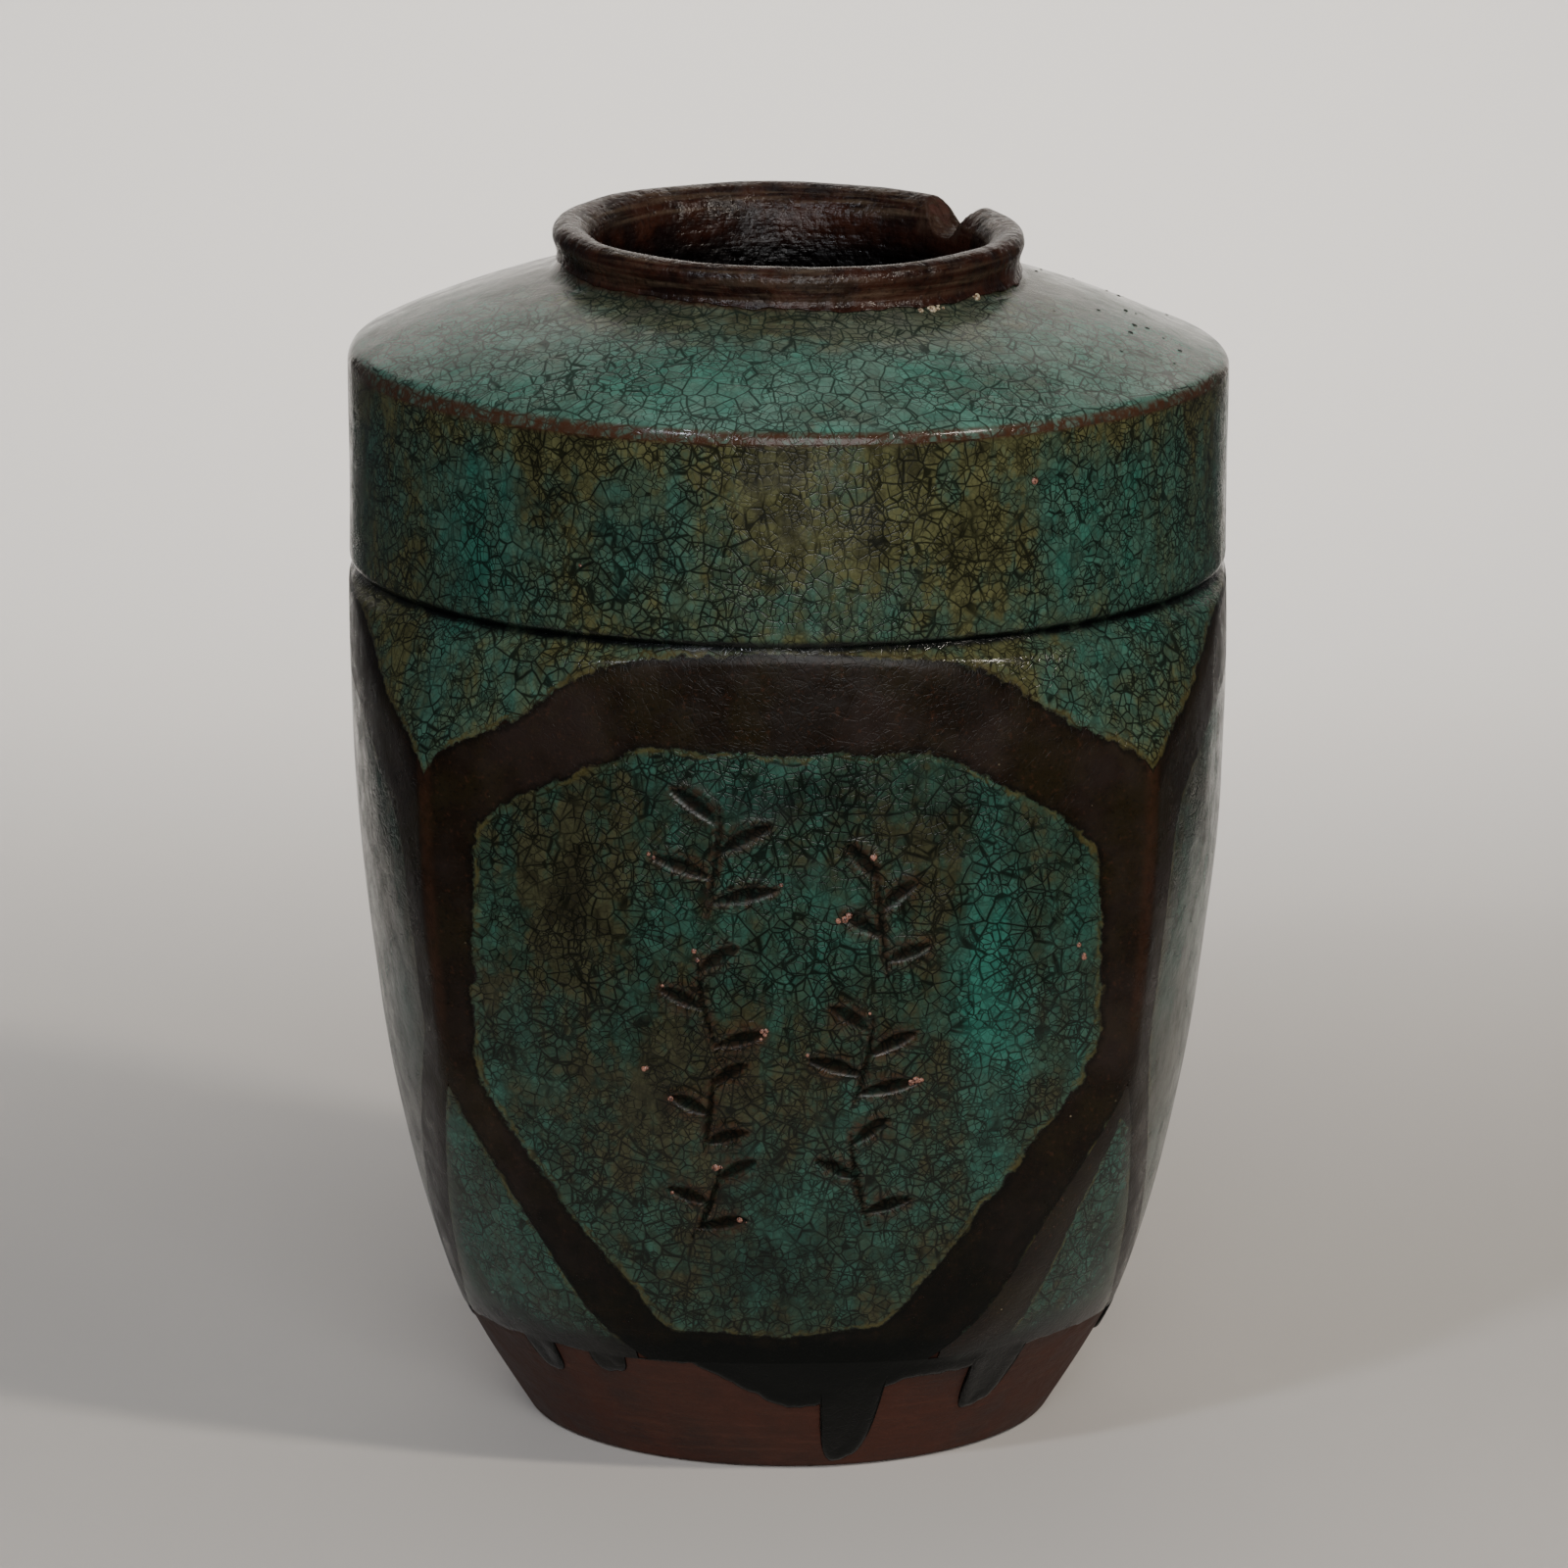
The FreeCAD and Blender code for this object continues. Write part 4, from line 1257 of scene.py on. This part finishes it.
@dataclass
class SideGlaze:
    """One beaten side's green field and the brown band that frames it."""

    finishes: Finishes
    side: Side
    cells: int = 130
    rings: int = 20
    sprigs: tuple[Sprig, ...] = ()
    right: tuple[tuple[float, float, float], ...] = (
        (0.0, 0.0, 213.0), (0.47, 39.0, 212.5), (0.75, 63.0, 199.5), (1.0, 83.0, 185.5),
        (1.7, 84.0, 131.0), (1.95, 79.0, 118.0), (2.5, 54.0, 84.5), (3.0, 27.0, 47.5), (4.0, 0.0, 44.5))
    left: tuple[tuple[float, float, float], ...] = (
        (0.0, 0.0, 213.0), (0.47, 39.0, 213.5), (0.75, 62.0, 203.5), (1.0, 84.0, 192.0),
        (1.7, 84.5, 130.0), (1.95, 81.5, 114.0), (2.5, 59.0, 81.0), (3.0, 33.0, 46.5), (4.0, 0.0, 44.5))
    head_turn: float = 22.5
    stem_half: float = 1.15
    leaf_half: float = 2.3
    stroke_depth: float = 0.55

    def field_edge(self, at: np.ndarray) -> np.ndarray:
        """The green field's edge.

        Args:
            at: Places round it: 0 at the top, 1, 3, 5 and 7 at its corners, turning to the right.

        Returns:
            Rows of (across, height).
        """
        step = at % 8.0
        half = np.minimum(step, 8.0 - step)
        found = np.zeros((*at.shape, 2))
        for keys, sign, here in ((self.right, 1.0, step <= 4.0), (self.left, -1.0, step > 4.0)):
            for k in (0, 1):
                line = np.interp(half, [key[0] for key in keys], [key[k + 1] for key in keys])
                found[..., k] = np.where(here, line * (sign if k == 0 else 1.0), found[..., k])
        return found

    def smooth_edge(self) -> np.ndarray:
        """The field's edge at every grid step, its corners rounded by the brush."""
        count = 8 * self.cells // 2
        at = np.arange(count) * 8.0 / count
        line = self.field_edge(at)
        offsets = np.arange(-24, 25)
        weight = np.exp(-(offsets / 9.0) ** 2)
        weight /= weight.sum()
        rounded = sum(w * np.roll(line, k, axis=0) for k, w in zip(offsets, weight))
        level = np.stack([rounded[:, 0], np.full(count, 7.0), rounded[:, 1]], axis=1)
        waver = 0.45 * ripple(level, 16.0, 50 + self.side.value)
        centre = np.array([0.0, 130.0])
        way = rounded - centre
        return rounded + waver[:, None] * way / np.linalg.norm(way, axis=1)[:, None]

    def frame_edge(self) -> np.ndarray:
        """The brown band's outer edge at every grid step, as rows of (turn, height).

        It follows the upper crease, the ridge, the lower crease and the top of the hem.
        """
        count = 4 * self.cells
        at = np.arange(count) * 8.0 / count
        half = np.minimum(at, 8.0 - at)
        turns = np.radians(np.linspace(0.0, 45.0, 91))
        creases = np.array([FORM.crease_heights(float(turn)) for turn in turns])
        low, high = creases[:, 0], creases[:, 1]
        hem_turn = float(np.interp(FORM.hem_top, low, turns))
        quarter = math.radians(45.0)
        turn = np.interp(half, [0.0, 0.47, 1.0, 1.95, 3.0, 4.0],
                         [0.0, math.radians(self.head_turn), quarter, quarter, hem_turn, 0.0])
        upper = np.interp(turn, turns, high)
        ridge = np.interp(half, [1.0, 1.95], [high[-1], low[-1]])
        lower = np.maximum(np.interp(turn, turns, low), FORM.hem_top)
        height = np.where(half < 1.0, upper, np.where(half < 1.95, ridge, lower))
        height = np.where(half > 3.0, FORM.hem_top, height)
        return np.stack([np.where(at <= 4.0, turn, -turn), height], axis=1)

    def marks_at(self, points: np.ndarray, turn: np.ndarray, height: np.ndarray) -> Marks:
        """Band, pool and thin marks for points on this side.

        Args:
            points: Positions in millimetres.
            turn: Angles from the side's middle.
            height: Heights.

        Returns:
            Marks per point; band is only its size here, and the caller gives its sign.
        """
        edge = self.smooth_edge()
        inner = FORM.turn_at(edge[:, 0], edge[:, 1])
        offset = self.side.value * math.pi / 2.0
        lines = [FORM.at(inner + offset, edge[:, 1], FORM.clay(inner, edge[:, 1]) + FORM.glaze)]
        outline = self.frame_edge()
        open_edge = np.abs(outline[:, 0]) < math.radians(44.5)
        outline = outline[open_edge & (outline[:, 1] > FORM.hem_top + 0.5)]
        lines.append(FORM.at(
            outline[:, 0] + offset, outline[:, 1], FORM.clay(outline[:, 0], outline[:, 1]) + FORM.glaze))
        ridge = smoothstep(math.radians(1.6), math.radians(0.3), math.radians(45.0) - np.abs(turn))
        return {
            "band": np.minimum(nearest(points, lines[0]), nearest(points, lines[1])),
            "thin": ridge * 0.45 * smoothstep(122.0, 140.0, height) * smoothstep(214.0, 204.0, height),
            "pool": np.maximum(
                0.55 * smoothstep(115.0, 62.0, height),
                deep_foot(np.abs(turn), height)),
        }

    def strokes(self, across: np.ndarray, height: np.ndarray) -> np.ndarray:
        """How far inside a cut stroke each point lies: 1 in its middle, 0 at its edge, then negative."""
        best = np.full(across.shape, -9.0)
        strokes = [(line, self.stem_half if k == 0 else self.leaf_half)
                   for sprig in self.sprigs for k, line in enumerate(sprig.strokes())]
        for line, half in strokes:
            near = (np.abs(across - line[:, 0].mean()) < 26.0) & (np.abs(height - line[:, 1].mean()) < 24.0)
            here = np.stack([across[near], height[near]], axis=-1)
            gap = np.sqrt(((here[:, None, :] - line[None, :, :]) ** 2).sum(axis=2))
            taper = half * (0.28 + 0.82 * np.sin(np.linspace(0.04, 0.97, len(line)) * math.pi))
            best[near] = np.maximum(best[near], (1.0 - gap / taper[None, :]).max(axis=1))
        return best

    def surface(self, turn: np.ndarray, height: np.ndarray, lift: np.ndarray | float) -> np.ndarray:
        """Points on this side, lifted off the clay by a coat."""
        offset = self.side.value * math.pi / 2.0
        return FORM.at(turn + offset, height, FORM.clay(turn, height) + lift)

    def field(self) -> None:
        """The green field, with the sprigs cut into it on the front."""
        edge = self.smooth_edge()
        count = len(edge)
        line = np.linspace(-1.0, 1.0, self.cells + 1)
        a, b = np.meshgrid(line, line)
        ring = np.maximum(np.maximum(np.abs(a), np.abs(b)), 1e-9)
        u, v = a / ring, b / ring
        near_one = 1.0 - 1e-9
        at = np.select([v >= near_one, u >= near_one, v <= -near_one], [u, 2.0 - v, 4.0 - u], 6.0 + v)
        at = (at % 8.0) * count / 8.0
        lap = np.concatenate([edge, edge[:1]])
        outline = np.stack([np.interp(at, np.arange(count + 1), lap[:, k]) for k in range(2)], axis=-1)
        centre = np.array([0.0, 130.0])
        spot = centre + (outline - centre) * ring[..., None]
        turn, height = FORM.turn_at(spot[..., 0], spot[..., 1]), spot[..., 1]
        inside = self.strokes(spot[..., 0], height)
        cut = smoothstep(0.0, 0.75, inside)
        raised = 0.22 * smoothstep(-1.1, -0.2, inside) * smoothstep(0.25, 0.0, inside)
        lift = FORM.glaze - self.stroke_depth * cut + raised
        points = self.surface(turn, height, lift)
        marks = self.marks_at(points, turn, height)
        marks["band"] = -marks["band"]
        marks["pool"] = np.zeros(turn.shape)
        marks["stroke"] = smoothstep(0.0, 0.6, inside) * 0.85
        marks["halo"] = smoothstep(-1.7, 0.1, inside)
        quarter = self.side.value
        across = spot[..., 0] * (1.0 if quarter % 2 == 0 else -1.0) + 11.0 * quarter
        # glaze tone, with the painted reflection streak from the first panel blob
        marks["tone"] = cloud(across, height + 9.0 * quarter, PANEL_TONES_AND_REFLECTION, 0.48)
        # darker glaze patches, and painted shade along the bottom of the field
        marks["pool"] += cloud(across, height - 7.0 * quarter, PANEL_DEPTHS_AND_SHADE, 0.0)
        inner = self.surface(turn, height, BEHIND)
        piece = shell(f"field_glaze_{self.side.label}_coat", points, inner, marks, False)
        adopt(piece, self.finishes.glaze, "green_glaze", f"field_glaze_{self.side.label}")

    def band(self) -> None:
        """The brown band from the field's edge out to the creases, the ridges and the hem."""
        edge = self.smooth_edge()
        inner = np.stack([FORM.turn_at(edge[:, 0], edge[:, 1]), edge[:, 1]], axis=1)
        outer = self.frame_edge()
        share = np.linspace(0.0, 1.0, self.rings)[:, None, None]
        spot = inner[None] + (outer - inner)[None] * share
        turn, height = spot[..., 0], spot[..., 1]
        brow = 0.1 * np.sin(np.clip(share[..., 0], 0.0, 1.0) * math.pi)
        points = self.surface(turn, height, FORM.glaze + brow * smoothstep(200.0, 214.0, height))
        marks = self.marks_at(points, turn, height)
        marks = plain_marks(turn.shape, tone=0.4) | marks
        behind = self.surface(turn, height, BEHIND)
        piece = shell(f"frame_glaze_{self.side.label}_coat", points, behind, marks, True)
        adopt(piece, self.finishes.band, "brown_band_glaze", f"frame_glaze_{self.side.label}")

    def build(self) -> None:
        """Builds the field and its band."""
        self.field()
        self.band()


@dataclass(frozen=True)
class Run:
    """A tongue of glaze below the hem: its turn from the front and half width in degrees, its reach."""

    turn: float
    half: float
    reach: float

    def drop(self, turn: np.ndarray) -> np.ndarray:
        """How far the run hangs below the hem at each angle in degrees."""
        off = np.abs(wrapped(turn - self.turn)) / self.half
        return self.reach * np.clip(1.0 - off ** 4, 0.0, None) ** 0.5


@dataclass
class EdgeGlaze:
    """The glaze between and below the bands: the cap under the groove, the spandrels and the hem.

    The brush went wide at the lower right of the front, so the brown there covers half the corner.
    """

    finishes: Finishes
    columns: int = 600
    spandrel_reach: float = 20.0
    wide_band: float = 15.0
    hem_bead: float = 1.6
    hem_swell: float = 0.35
    hem_keys: tuple[tuple[float, float], ...] = (
        (-180.0, 37.0), (-150.0, 33.5), (-120.0, 36.0), (-90.0, 31.5), (-66.0, 35.5), (-50.0, 38.0),
        (-26.0, 40.0), (-14.0, 34.0), (-6.0, 26.0), (2.0, 21.5), (16.0, 26.0), (21.0, 29.5),
        (30.0, 30.5), (47.0, 35.5),
        (60.0, 36.0), (90.0, 30.5), (120.0, 36.0), (150.0, 33.0), (180.0, 37.0))
    runs: tuple[Run, ...] = (
        Run(-45.4, 3.3, 10.0), Run(-31.0, 3.4, 6.0), Run(11.2, 5.4, 21.0), Run(37.5, 5.0, 17.0),
        Run(78.0, 3.4, 9.0), Run(104.0, 4.4, 15.0), Run(139.0, 3.0, 7.0), Run(171.0, 4.8, 19.0),
        Run(-152.0, 3.2, 8.0), Run(-118.0, 4.6, 14.0), Run(-83.0, 3.0, 7.0))

    def creases(self, turn: np.ndarray) -> tuple[np.ndarray, np.ndarray]:
        """Lower and upper crease heights at each angle in radians."""
        grid = np.radians(np.linspace(0.0, 45.0, 91))
        found = np.array([FORM.crease_heights(float(angle)) for angle in grid])
        near = from_side(turn)
        return np.interp(near, grid, found[:, 0]), np.interp(near, grid, found[:, 1])

    def surface(self, turn: np.ndarray, height: np.ndarray, lift: np.ndarray | float) -> np.ndarray:
        """Points over the clay, lifted by a coat."""
        return FORM.at(turn, height, FORM.clay(turn, height) + lift)

    def cap(self) -> None:
        """The ring of green from the bands' upper creases to the groove."""
        turn = around(self.columns)
        _, crease = self.creases(turn)
        share = (np.linspace(0.0, 1.0, 30) ** 0.8)[:, None]
        height = crease + (FORM.groove - crease) * share
        turn = np.broadcast_to(turn, height.shape)
        points = self.surface(turn, height, FORM.glaze)
        marks = plain_marks(height.shape, tone=0.5)
        marks["band"] = -(height - crease) * 0.8
        marks["pool"] = 0.85 * smoothstep(FORM.groove - 2.2, FORM.groove - 0.4, height)
        marks["tone"] = cloud(np.degrees(turn), height + 22.0, WALL_TONES, 0.48)
        marks["thin"] = 0.12 * smoothstep(3.0, 0.5, height - crease)
        piece = shell("cap_glaze_coat", points, self.surface(turn, height, BEHIND), marks, True)
        adopt(piece, self.finishes.wall, "green_glaze", "cap_glaze")

    def spandrel(self, corner: Corner) -> None:
        """The green triangle at a corner, between two bands and above the hem."""
        reach = math.radians(self.spandrel_reach)
        turn = math.radians(corner.value) + np.linspace(-reach, reach, 150)
        low, _ = self.creases(turn)
        top = np.maximum(low, FORM.hem_top + 0.02)
        height = FORM.hem_top + (top - FORM.hem_top) * np.linspace(0.0, 1.0, 90)[:, None]
        turn = np.broadcast_to(turn, height.shape)
        points = self.surface(turn, height, FORM.glaze)
        line = self.surface(turn[-1], top, FORM.glaze)
        marks = plain_marks(height.shape, tone=0.5)
        degrees = np.degrees(turn)
        marks["band"] = -nearest(points, line)
        if corner is Corner.FRONT_RIGHT:
            marks["band"] += self.wide_band * smoothstep(50.0, 36.0, degrees)
        marks["pool"] = smoothstep(15.0, 1.0, height - self.line(degrees[0]))
        node = f"spandrel_glaze_{corner.label}"
        piece = shell(f"{node}_coat", points, self.surface(turn, height, BEHIND), marks, False)
        adopt(piece, self.finishes.glaze, "green_glaze", node)

    def line(self, degrees: np.ndarray) -> np.ndarray:
        """Height of the glaze's lower edge between its runs, at each angle in degrees."""
        return np.minimum(curve_through(list(self.hem_keys), wrapped(degrees)), FORM.hem_top - 0.6)

    def hem(self) -> None:
        """The thick dark lower edge of the glaze and the runs that hang from it."""
        count = 2 * self.columns
        degrees = np.arange(count) * 360.0 / count
        turn = np.radians(degrees)
        ring = circle(80.0, turn)
        base = self.line(degrees) + 0.8 * ripple(ring, 17.0, 71) + 0.25 * ripple(ring, 4.0, 72)
        drop = np.max([run.drop(degrees) for run in self.runs], axis=0)
        bottom = np.clip(base - drop, 2.2, FORM.hem_top - 0.5)
        height = bottom + (FORM.hem_top - bottom) * (np.linspace(0.0, 1.0, 40) ** 1.3)[:, None]
        turn = np.broadcast_to(turn, height.shape)
        flat = self.surface(turn, height, 0.0)
        edge = np.stack([np.interp(np.arange(0, count, 0.5), np.arange(count), flat[0][:, k], period=count)
                         for k in range(3)], axis=1)
        gap = nearest(flat, edge)
        bead = np.sqrt(np.clip(1.0 - (1.0 - np.clip(gap / self.hem_bead, 0.0, 1.0)) ** 2, 0.0, 1.0))
        swell = self.hem_swell * smoothstep(6.0, self.hem_bead, gap)
        swell = swell * smoothstep(FORM.hem_top, FORM.hem_top - 3.0, height)
        points = self.surface(turn, height, 0.08 + (FORM.glaze - 0.08 + swell) * bead)
        marks = plain_marks(height.shape, tone=0.5, band=NO_BAND)
        above = height - self.line(degrees)
        marks["pool"] = smoothstep(15.0, 1.0, above)
        marks["pool"] = np.maximum(marks["pool"], deep_foot(from_side(turn), height))
        piece = shell("hem_glaze_coat", points, self.surface(turn, height, BEHIND), marks, True)
        adopt(piece, self.finishes.hem, "dark_run_glaze", "hem_glaze")

    def build(self) -> None:
        """Builds the cap, the spandrels and the hem."""
        self.cap()
        for corner in Corner:
            self.spandrel(corner)
        self.hem()


# --- grit, blisters and flakes ---------------------------------------------------------------------------

@dataclass
class Scatter:
    """Small lumps spread at random over patches of the surface by a Geometry Nodes tree."""

    name: str
    material: bpy.types.Material
    slot: str
    per_square_cm: float
    smallest: float
    largest: float
    flatness: float
    seed: int

    def tree(self) -> bpy.types.NodeTree:
        """Builds the tree: points on the patch, a low lump on each, made real and dressed."""
        made = bpy.data.node_groups.new(self.name, "GeometryNodeTree")
        face = made.interface
        face.new_socket("Geometry", in_out="INPUT", socket_type="NodeSocketGeometry")
        for label in ("Density", "Smallest", "Largest", "Flatness"):
            face.new_socket(label, in_out="INPUT", socket_type="NodeSocketFloat")
        face.new_socket("Seed", in_out="INPUT", socket_type="NodeSocketInt")
        face.new_socket("Finish", in_out="INPUT", socket_type="NodeSocketMaterial")
        face.new_socket("Geometry", in_out="OUTPUT", socket_type="NodeSocketGeometry")
        graph = Graph(made)
        given = {item.name: graph.add("NodeGroupInput", out=item.name)
                 for item in face.items_tree if item.in_out == "INPUT"}
        points = graph.add("GeometryNodeDistributePointsOnFaces", {
            "Mesh": given["Geometry"], "Density": given["Density"], "Seed": given["Seed"]}, "Points")
        lump = graph.add("GeometryNodeMeshUVSphere", {"Segments": 8, "Rings": 5, "Radius": 1.0}, "Mesh")
        links = {2: given["Smallest"], 3: given["Largest"], "Seed": given["Seed"]}
        size = graph.add("FunctionNodeRandomValue", links, 1)
        flat = graph.add(MATH, {0: size, 1: given["Flatness"]}, operation="MULTIPLY")
        scale = graph.add("ShaderNodeCombineXYZ", {0: size, 1: size, 2: flat})
        placed = graph.add("GeometryNodeInstanceOnPoints", {
            "Points": points, "Instance": lump, "Rotation": points.node.outputs["Rotation"], "Scale": scale})
        real = graph.add("GeometryNodeRealizeInstances", {"Geometry": placed})
        dressed = graph.add("GeometryNodeSetMaterial", {"Geometry": real, "Material": given["Finish"]})
        graph.add("NodeGroupOutput", {"Geometry": dressed})
        return made

    def build(self, patches: list[np.ndarray]) -> None:
        """Spreads the lumps over grids of points and puts them on the jar.

        Args:
            patches: Grids of positions in millimetres, rows rising and columns turning to the right.
        """
        corners, faces = [], []
        for grid in patches:
            rows, columns = grid.shape[:2]
            index = np.arange(rows * columns).reshape(rows, columns) + sum(len(block) for block in corners)
            faces.append(grid_faces(index))
            corners.append(grid.reshape(-1, 3))
        source = to_mesh(f"{self.name}_patch", np.concatenate(corners), np.concatenate(faces), {})
        tree = self.tree()
        modifier = source.modifiers.new(self.name, "NODES")
        modifier.node_group = tree
        values = {
            "Density": self.per_square_cm * 1.0e4, "Smallest": self.smallest * MM,
            "Largest": self.largest * MM, "Flatness": self.flatness, "Seed": self.seed,
            "Finish": self.material}
        for item in tree.interface.items_tree:
            if item.name in values:
                modifier[item.identifier] = values[item.name]
        evaluated = source.evaluated_get(bpy.context.evaluated_depsgraph_get())
        mesh = bpy.data.meshes.new_from_object(evaluated)
        source.modifiers.remove(modifier)
        bpy.data.objects.remove(source)
        mesh.name = self.name
        mesh.shade_smooth()
        piece = bpy.data.objects.new(self.name, mesh)
        bpy.context.scene.collection.objects.link(piece)
        adopt(piece, self.material, self.slot)


def glaze_patch(turns: tuple[float, float], heights: tuple[float, float], count: int = 12) -> np.ndarray:
    """A grid on the glazed wall below the shoulder's edge.

    Args:
        turns: First and last angle in degrees from the front.
        heights: Lowest and highest height in millimetres.
        count: Points along each side.

    Returns:
        Grid of positions.
    """
    turn = np.radians(np.linspace(*turns, count))[None, :]
    height = np.linspace(*heights, count)[:, None]
    wall = np.where(height < FORM.groove, FORM.clay(turn, np.minimum(height, FORM.groove)), FORM.body_radius)
    return FORM.at(turn, height, wall + FORM.glaze)


def shoulder_patch(turns: tuple[float, float], radii: tuple[float, float], count: int = 12) -> np.ndarray:
    """A grid on the glazed shoulder, from an outer radius to an inner one."""
    turn = np.radians(np.linspace(*turns, count))[None, :]
    radius = np.linspace(*radii, count)[:, None]
    profile = TurnedGlaze.dome()
    height = np.interp(-radius, -profile[:, 0], profile[:, 1])
    return FORM.at(turn, height, radius)


def neck_patch(turns: tuple[float, float], heights: tuple[float, float], count: int = 12) -> np.ndarray:
    """A grid on the foot of the neck, where the slip ends."""
    turn = np.radians(np.linspace(*turns, count))[None, :]
    height = np.linspace(*heights, count)[:, None]
    return FORM.at(turn, height, FORM.neck(height) + 0.3)


def spots_on_side(places: list[tuple[float, float]], size: float) -> list[np.ndarray]:
    """Small square patches on the front panel, centred on places given as (across, height)."""
    found = []
    for across, height in places:
        turns = np.degrees(FORM.turn_at(np.array([across - size, across + size]), np.array([height, height])))
        found.append(glaze_patch((turns[0], turns[1]), (height - size, height + size), 3))
    return found


# --- setting and order ---------------------------------------------------------------------------------

@dataclass(frozen=True)
class Lamp:
    """One soft square light: its place and target in metres, side, power in watts and spread."""

    name: str
    place: Place
    size: float
    power: float
    colour: str = "#ffffff"
    target: Place = (0.0, 0.0, 0.18)
    spread: float = 180.0

    def build(self) -> None:
        """Hangs the light and turns it to its target."""
        lamp = bpy.data.lights.new(self.name, "AREA")
        lamp.energy, lamp.size, lamp.color = self.power, self.size, linear(self.colour)[:3]
        lamp.spread = math.radians(self.spread)
        held = bpy.data.objects.new(self.name, lamp)
        held.location = self.place
        held.rotation_euler = (Vector(self.target) - Vector(self.place)).to_track_quat("-Z", "Y").to_euler()
        bpy.context.scene.collection.objects.link(held)


@dataclass
class Studio:
    """A pale floor and back wall, soft lights and the camera."""

    distance: float = 2.5
    height: float = 0.772
    aim: tuple[float, float, float] = (-0.0012, 0.0, 0.176)
    lens: float = 211.95
    floor_colour: str = "#c9c4be"
    room_colour: str = "#dfe2e6"
    room_strength: float = 0.08
    lamps: tuple[Lamp, ...] = (
        Lamp("key", (1.20, -0.97, 1.45), 0.20, 18.0, "#fff6ea"),
        Lamp("window", (-0.80, -1.40, 1.35), 0.17, 11.0, "#eef4ff"),
        Lamp("fill", (0.25, -2.35, 0.85), 1.3, 46.0),
        Lamp("top", (0.0, 0.35, 1.9), 0.9, 1.5),
        Lamp("wall_wash", (0.0, 0.45, 2.2), 0.8, 14.0, target=(0.0, 1.3, 0.6), spread=64.0))

    def sweep(self) -> None:
        """A floor that curves up into a wall behind the jar."""
        radius, reach, floor_reach, depth, tall = 0.5, 0.8, 0.42, 1.3, 1.6
        turn = np.linspace(0.0, math.pi / 2.0, 24)
        line = [(-0.32, 0.0)]
        line += [(depth - radius + radius * math.sin(a), radius - radius * math.cos(a)) for a in turn]
        line.append((depth, tall))
        verts = [(side * (floor_reach + (reach - floor_reach) * min(1.0, z / radius)), y, z)
                 for y, z in line for side in (-1.0, 1.0)]
        faces = [(2 * k, 2 * k + 1, 2 * k + 3, 2 * k + 2) for k in range(len(line) - 1)]
        mesh = bpy.data.meshes.new("sweep")
        mesh.from_pydata(verts, [], faces)
        mesh.shade_smooth()
        sweep = bpy.data.objects.new("sweep", mesh)
        bpy.context.scene.collection.objects.link(sweep)
        make = MaterialGraph("matt_paper_sweep")
        mesh.materials.append(make.finish(self.floor_colour, 0.9, 0.0, Specular_IOR_Level=0.1))

    def camera(self) -> None:
        """The camera, well above the jar's top and looking down into its mouth."""
        data = bpy.data.cameras.new("camera")
        data.lens, data.sensor_width = self.lens, 36.0
        data.clip_end = 20.0
        held = bpy.data.objects.new("camera", data)
        held.location = (self.aim[0], -self.distance, self.height)
        held.rotation_euler = (Vector(self.aim) - held.location).to_track_quat("-Z", "Y").to_euler()
        bpy.context.scene.collection.objects.link(held)
        bpy.context.scene.camera = held

    def build(self) -> None:
        """Sets the stage."""
        self.sweep()
        for lamp in self.lamps:
            lamp.build()
        world = bpy.data.worlds.new("room")
        world.use_nodes = True
        back = world.node_tree.nodes["Background"]
        back.inputs["Color"].default_value = linear(self.room_colour)
        back.inputs["Strength"].default_value = self.room_strength
        bpy.context.scene.world = world
        self.camera()


def main() -> None:
    """Builds the jar from the clay outwards, then the setting."""
    logging.basicConfig(level=logging.INFO, format="%(name)s %(message)s")
    finishes = Finishes()
    ClayBody(finishes).build()
    Mouth(finishes).build()
    TurnedGlaze(finishes).build()
    for side in Side:
        front = side is Side.FRONT
        SideGlaze(finishes, side, cells=200 if front else 110, sprigs=SPRIGS if front else ()).build()
    EdgeGlaze(finishes).build()
    Scatter("kiln_grit", finishes.grit, "green_glaze", 0.4, 0.3, 1.0, 0.45, 5).build([
        shoulder_patch((62.0, 118.0), (112.0, 68.0)), glaze_patch((70.0, 82.0), (284.0, 299.0))])
    ends = [end for sprig in SPRIGS for end in sprig.ends()]
    Scatter("burst_blisters", finishes.blister, "green_glaze", 14.0, 0.45, 1.15, 0.4, 8).build(
        spots_on_side(ends + [(-39.0, 125.0), (77.0, 158.0), (79.0, 152.0)], 1.5)
        + [glaze_patch((-27.5, -25.8), (261.0, 263.5), 3), glaze_patch((31.5, 33.0), (281.0, 284.0), 3)])
    Scatter("glassy_flakes", finishes.flake, "iron_slip", 20.0, 0.4, 1.4, 0.5, 3).build([
        neck_patch((31.0, 40.0), (320.9, 323.0)), neck_patch((50.0, 56.0), (321.2, 324.0)),
        neck_patch((8.0, 24.0), (322.4, 323.2))])
    Studio().build()


if __name__ == "__main__":
    main()
